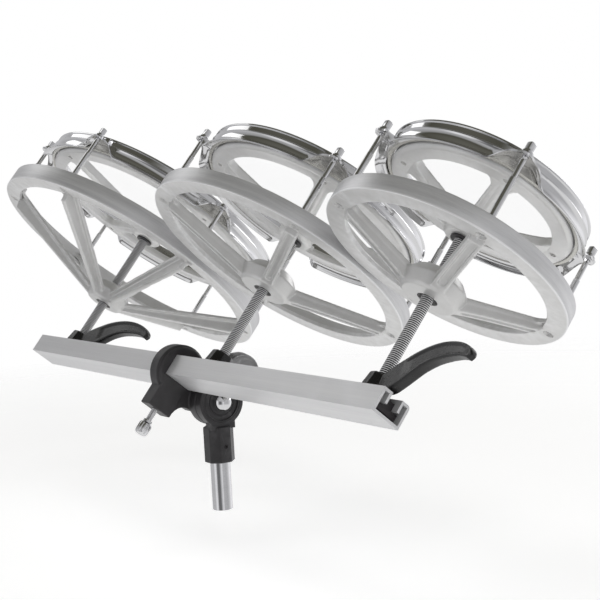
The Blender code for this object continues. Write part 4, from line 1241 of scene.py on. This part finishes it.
# %% Bevel and finish of the rail
RAIL_BEVEL = 0.0004
rail = frame["nodes"]["rail"]
rail.data.materials.clear()
rail.data.materials.append(RAIL_SKIN)
keep_own_space(rail.data)
break_edges(rail, RAIL_BEVEL)
print("The rail keeps its solid, with a bevel of", RAIL_BEVEL, "m")

# %% [markdown]
# ## Clamp and tilter
#
# The rail slides through a plastic clamp, and the clamp turns on the tilter's bolt.
# Both mouldings have soft corners. The clamp's parts are joined and softened as the
# castings are, and the window for the rail is cut afterwards so that it stays true;
# the socket gets a narrow bevel instead. Sizes are measured from the tilt axis, with
# Y and Z turned as the rail is.

# %% The rail clamp
TILT_PLACE = Matrix.Translation(joints["tilt"]["pos_m"]) @ DRUMS[0].place().to_3x3().to_4x4()
RAIL_Y, RAIL_TOP = -0.0384, 0.0141
RAIL_WIDTH, RAIL_HEIGHT = 0.028, 0.0195
CLAMP_NEAR, CLAMP_FAR = -0.010, -0.027
DISC_RADIUS = 0.022
SOCKET_HALF = 0.0125
BOLT_BORE = 0.0044
BOSS_HALF = 0.01225
BOSS_DROP = 0.050
CLAMP_RADIUS = 0.0245


def clamp():
    middle = RAIL_TOP - RAIL_HEIGHT / 2
    width = CLAMP_NEAR - CLAMP_FAR
    lip = CLAMP_RADIUS - 0.002
    ring = along_x(turned([(CLAMP_RADIUS - 0.0006, 0), (CLAMP_RADIUS, 0.0006), (CLAMP_RADIUS, width - 0.003),
                           (lip, width - 0.0026), (lip, width - 0.0004), (lip - 0.0004, width)], 96),
                   (CLAMP_FAR, RAIL_Y, middle))
    boss = block((CLAMP_FAR, RAIL_Y - BOSS_HALF, RAIL_TOP - BOSS_DROP),
                 (CLAMP_NEAR, RAIL_Y + BOSS_HALF, middle))
    low = Vector((RAIL_Y + BOSS_HALF, RAIL_TOP - BOSS_DROP))
    high = Vector((-DISC_RADIUS / 2, -DISC_RADIUS * sqrt(3) / 2))
    hollow = Vector((low.x, high.y))
    curve = [low.lerp(hollow, i / 12).lerp(hollow.lerp(high, i / 12), i / 12) for i in range(13)]
    web = extruded([*curve, (-0.0095, high.y), (-0.0095, 0.013), (RAIL_Y, 0.013), (RAIL_Y, low.y)],
                   CLAMP_FAR + 0.003, CLAMP_NEAR - CLEAR)
    face = SOCKET_HALF - CLEAR / 2
    disc = along_x(turned([(DISC_RADIUS - 0.0006, 0), (DISC_RADIUS, 0.0006),
                           (DISC_RADIUS, SOCKET_HALF - 0.0012), (DISC_RADIUS - 0.0006, face)], 96),
                   (-SOCKET_HALF, 0, 0))
    solid = softened(combine(ring, [boss, web, disc]), 0.0008)
    window = block((CLAMP_FAR - 0.01, RAIL_Y - RAIL_WIDTH / 2 - CLEAR, RAIL_TOP - RAIL_HEIGHT - CLEAR),
                   (CLAMP_NEAR + 0.01, RAIL_Y + RAIL_WIDTH / 2 + CLEAR, RAIL_TOP + CLEAR))
    bolt_way = along_x(turned([(BOLT_BORE, 0), (BOLT_BORE, 0.04)], 32), (CLAMP_FAR - CLEAR, 0, 0))
    screw_way = turned([(0.0034, RAIL_TOP - 0.1), (0.0034, middle)], 32)
    moved(screw_way, Matrix.Translation(((CLAMP_NEAR + CLAMP_FAR) / 2, RAIL_Y, 0)))
    return cut(solid, [window, bolt_way, screw_way])


show("clamp_moulding", clamp(), "clamp", TILTER_BLACK, ["rail_clamp"], TILT_PLACE,
     sharp=MOULDED_EDGE)

# %% The socket that takes the stand tube
UPRIGHT_PLACE = Matrix.Translation(joints["tilt"]["pos_m"])
TUBE_RADIUS = 0.009
TUBE_WALL = 0.0015
SOCKET_LENGTH = 0.032
SOCKET_ROOF = 0.004
SOCKET_FACE = 0.0085
SET_SCREW_DROP = 0.040
SLEEVE_TOP = -DISC_RADIUS - 0.0005


def socket():
    """Disc with stepped rings on its face, a neck, and an eight-sided sleeve."""
    disc = along_x(turned_ring([(BOLT_BORE, CLEAR / 2), (DISC_RADIUS - 0.0006, CLEAR / 2),
                                (DISC_RADIUS, 0.0008), (DISC_RADIUS, 0.0094), (DISC_RADIUS - 0.0006, 0.010),
                                (0.0185, 0.010), (0.0181, 0.0096), (0.0174, 0.0096), (0.0170, 0.010),
                                (0.0167, 0.010), (0.0163, SOCKET_FACE), (0.0128, SOCKET_FACE),
                                (0.0124, 0.0080), (0.0118, 0.0080), (0.0114, SOCKET_FACE),
                                (BOLT_BORE, SOCKET_FACE)], 96))
    top = SLEEVE_TOP
    end = top - SOCKET_LENGTH
    neck_half = SOCKET_HALF - CLEAR
    neck = block((CLEAR / 2, -neck_half, top - 0.002),
                 (0.0097, neck_half, -sqrt(DISC_RADIUS ** 2 - SOCKET_HALF ** 2)))
    corner = SOCKET_HALF / cos(pi / 8)
    sleeve = turned([(corner - 0.0006, end), (corner, end + 0.0006), (corner, top - 0.0006),
                     (corner - 0.0006, top)], 8, pi / 8)
    solid = combine(sleeve, [neck, disc])
    bore = turned([(TUBE_RADIUS + CLEAR, end - 0.004), (TUBE_RADIUS + CLEAR, top - SOCKET_ROOF)], 48)
    screw_way = along_x(turned([(0.0018, 0), (0.0018, 0.03)], 24), (TUBE_RADIUS / 2, 0, -SET_SCREW_DROP))
    return cut(solid, [bore, screw_way])


show("socket_moulding", socket(), "stand", TILTER_BLACK, ["tilter_socket"], UPRIGHT_PLACE,
     bevel=0.0005)

# %% Tube, screws, bolt and dome nut
TILT_HEIGHT = joints["tilt"]["pos_m"][2]
BOLT_RADIUS = 0.004
BOLT_HEAD_RADIUS = 0.0075
BOLT_HEAD_HEIGHT = 0.005
DOME_RADIUS = 0.0085
DOME_BORE = 0.0043


def lobed_head(radius, height, lobes=8):
    """A thumb head: a turned outline whose sides are hollowed into lobes."""
    sections = []
    for share, at in ((0.45, 0.0), (0.72, 0.0002), (0.9, 0.0012), (1.0, 0.0026), (1.0, 0.0096),
                      (0.9, 0.0108), (0.72, 0.0116), (0.6, height)):
        section = []
        for i in range(96):
            a = tau * i / 96
            hollow = 1 - 0.11 * max(0.0, cos(lobes * a)) ** 2 * ease((share - 0.7) / 0.2)
            section.append((radius * share * hollow * cos(a), radius * share * hollow * sin(a), at))
        sections.append(section)
    return skinned(sections)


tube_top = TILT_HEIGHT + SLEEVE_TOP - SOCKET_ROOF - CLEAR
tube_bore = TUBE_RADIUS - TUBE_WALL
tube = turned_ring([(tube_bore, 0.0003), (tube_bore + 0.0003, 0), (TUBE_RADIUS - 0.0003, 0),
                    (TUBE_RADIUS, 0.0003), (TUBE_RADIUS, tube_top), (tube_bore, tube_top)], 64)
show("chrome_tube", tube, "stand", CHROME, ["stand_tube"])

grub_length = SOCKET_HALF - TUBE_RADIUS - CLEAR
grub = cut(along_x(turned([(0.0015, 0), (0.0015, grub_length - 0.0003), (0.0012, grub_length)], 24)),
           [along_x(turned([(0.0008, 0), (0.0008, 0.005)], 6), (grub_length - 0.0012, 0, 0))])
show("grub_screw", grub, "stand", BLACKED, ["socket_set_screw"],
     Matrix.Translation((TUBE_RADIUS + CLEAR, 0, TILT_HEIGHT - SET_SCREW_DROP)))

tip = RAIL_TOP - RAIL_HEIGHT - CLEAR
shank_low = tip - 0.0425
end = shank_low - 0.013
thumb = joined_meshes([moved(lobed_head(0.006, 0.013), Matrix.Translation((0, 0, end))),
                       threaded(0.003, shank_low - 0.001, tip, 0.001, 20),
                       turned([(0.0042, shank_low - 0.001), (0.0042, shank_low + 0.0012)], 32)])
show("thumb_screw", thumb, "clamp_screw", CHROME, ["clamp_screw"],
     TILT_PLACE @ Matrix.Translation(((CLAMP_NEAR + CLAMP_FAR) / 2, RAIL_Y, 0)), sharp=CHROMED_EDGE)

head_face = -SOCKET_HALF - CLEAR
hexagon = along_x(turned([(BOLT_HEAD_RADIUS - 0.0011, 0), (BOLT_HEAD_RADIUS, 0.0008),
                          (BOLT_HEAD_RADIUS, BOLT_HEAD_HEIGHT)], 6), (head_face - BOLT_HEAD_HEIGHT, 0, 0))
nut_face = SOCKET_FACE + CLEAR
shank = along_x(turned([(BOLT_RADIUS, 0), (BOLT_RADIUS, nut_face + 0.0057 - head_face + 0.0025)], 32),
                (head_face - 0.0025, 0, 0))
show("pivot_bolt", combine(hexagon, [shank]), "clamp", ZINC, ["tilter_bolt"], TILT_PLACE,
     bevel=0.0003)

dome = [(DOME_RADIUS * cos(a), 0.0015 + DOME_RADIUS * sin(a)) for a in (pi / 2 * i / 16 for i in range(16))]
nut = along_x(turned([(DOME_BORE, 0.006), (DOME_BORE, 0), (DOME_RADIUS - 0.0004, 0), (DOME_RADIUS, 0.0004),
                      *dome[1:], (0.0001, 0.01)], 64), (nut_face, 0, 0))
show("dome_nut", nut, "clamp", CHROME, ["tilter_dome_nut"], TILT_PLACE)
print("Tilter hardware is in place")

# %% [markdown]
# ## Floor, light and camera
#
# Chrome shows the room, so the room is part of the look. A pale floor and a pale
# surround light the castings softly, and a darker ceiling gives the hoops the dark
# bands that make them read as chrome. The floor and two of the four lamps are
# hidden from mirror rays, so that the chrome shows the surround there instead. The
# camera stands where the photograph's did.

# %% Pale floor that fades into the surround
def floor_material():
    material, tree, shader, space = new_finish("pale_floor")
    mottle = effect(tree, "smudges", space, Size=3.0)
    tree.links.new(blend(tree, mottle.outputs["Mask"], (0.90, 0.90, 0.90), (0.92, 0.92, 0.92)),
                   shader.inputs["Base Color"])
    shader.inputs["Roughness"].default_value = 0.9
    shader.inputs["Specular IOR Level"].default_value = 0.1
    shader.inputs["Emission Color"].default_value = (1.0, 1.0, 1.0, 1.0)
    shader.inputs["Emission Strength"].default_value = 0.55
    radius = effect(tree, "turned", space).outputs["Radius"]
    tree.links.new(spread(tree, radius, 0.7, 1.6, 1.0, 0.0), shader.inputs["Alpha"])
    return material


FLOOR_HALF = 1.7
# The tube goes on a stand, so the floor lies below its end: the largest ring swings lower than that
FLOOR_DROP = 0.04
corners = [(x * FLOOR_HALF, y * FLOOR_HALF, -FLOOR_DROP) for x, y in ((-1, -1), (1, -1), (1, 1), (-1, 1))]
floor = bpy.data.objects.new("pale_floor", mesh_from(corners, [(0, 1, 2, 3)]))
floor.data.materials.append(floor_material())
keep_own_space(floor.data)
scene.collection.objects.link(floor)
floor.visible_glossy = False
print("The floor is", 2 * FLOOR_HALF, "m across")

# %% Surround
def stops(tree, value, colours):
    """Runs a value from 0 to 1 through a row of (place, colour) stops."""
    ramp = node(tree, "ValToRGB", {0: value})
    row = ramp.color_ramp.elements
    while len(row) < len(colours):
        row.new(0.5)
    for stop, (place, colour) in zip(row, colours):
        stop.position = place
        stop.color = (*colour, 1.0)
    return ramp.outputs["Color"]


def greys(pairs, tint=(1.0, 1.0, 1.02)):
    return [(place, tuple(value * share for share in tint)) for place, value in pairs]


def compass(pairs):
    """Stops round the horizon, from degrees turned left of +X."""
    return greys([(0.5 + angle / 360, value) for angle, value in pairs])


world = bpy.data.worlds.new("studio")
scene.world = world
world.use_nodes = True
tree = world.node_tree
background = tree.nodes["Background"]
ways = node(tree, "TexCoord").outputs["Generated"]
up_share = node(tree, "SeparateXYZ", {0: ways}).outputs[2]
turn_share = node(tree, "TexGradient", {0: ways}, gradient_type="RADIAL").outputs[1]
walls = stops(tree, turn_share, compass([(-180, 0.55), (-150, 0.5), (-112, 0.5), (-97, 0.85), (-82, 0.72),
                                         (-70, 0.17), (-44, 0.15), (-30, 0.5), (-17, 0.8), (-4, 0.48),
                                         (38, 0.45), (60, 0.6), (90, 0.95), (118, 0.85), (140, 0.4),
                                         (180, 0.55)]))
above = stops(tree, up_share, [(0.3, (0.46, 0.46, 0.47)), (0.6, (0.36, 0.36, 0.36)),
                               (0.68, (0.2, 0.2, 0.19)), (0.76, (0.075, 0.073, 0.058)),
                               (1.0, (0.12, 0.118, 0.1))])
room = blend(tree, spread(tree, up_share, 0.18, 0.36), walls, above)
room = blend(tree, spread(tree, up_share, -0.3, -0.5), room, (0.78, 0.78, 0.78))
seen = node(tree, "LightPath").outputs["Is Camera Ray"]
tree.links.new(blend(tree, seen, room, (1.0, 1.0, 1.0)), background.inputs["Color"])
background.inputs["Strength"].default_value = 1.0
print("The surround has", len(tree.nodes), "nodes")


# %% Softboxes
def softbox(name, turn, rise, distance, size, glow, aim=Vector((0.0, 0.03, 0.2))):
    """A rectangular lamp at a turn and a rise in degrees, with its glow as seen from the drums."""
    lamp = bpy.data.lights.new(name, "AREA")
    lamp.shape = "RECTANGLE"
    lamp.size, lamp.size_y = size
    lamp.energy = glow * pi * size[0] * size[1]
    thing = bpy.data.objects.new(name, lamp)
    scene.collection.objects.link(thing)
    way = Vector((cos(radians(rise)) * cos(radians(turn)), cos(radians(rise)) * sin(radians(turn)),
                  sin(radians(rise))))
    thing.location = aim + way * distance
    thing.rotation_euler = (-way).to_track_quat("-Z", "Y").to_euler()
    return thing


softbox("left_softbox", -168, 40, 1.7, (0.9, 0.7), 1.0)
softbox("back_softbox", 100, 12, 1.7, (0.8, 0.5), 2.0)
front = softbox("front_softbox", -60, 70, 1.7, (0.7, 0.7), 2.0)
side = softbox("side_softbox", -12, 25, 1.7, (0.8, 0.8), 3.0)
for lamp in (front, side):
    lamp.visible_glossy = False
scene.view_settings.view_transform = "Standard"

# %% Camera
camera = bpy.data.objects.new("camera", bpy.data.cameras.new("camera"))
scene.collection.objects.link(camera)
camera.data.lens = 80.5612
camera.data.sensor_width = 36
camera.data.clip_start = 0.01
right, up, back = (0.553284, 0.831157, -0.055280), (-0.037850, 0.091380, 0.995097), (0.832133, -0.548478,
                                                                                    0.082018)
turned_to = Matrix((right, up, back)).transposed().to_4x4()
camera.matrix_world = Matrix.Translation((1.03807, -0.58874, 0.28228)) @ turned_to
scene.camera = camera
print("Camera at", tuple(round(value, 3) for value in camera.location))
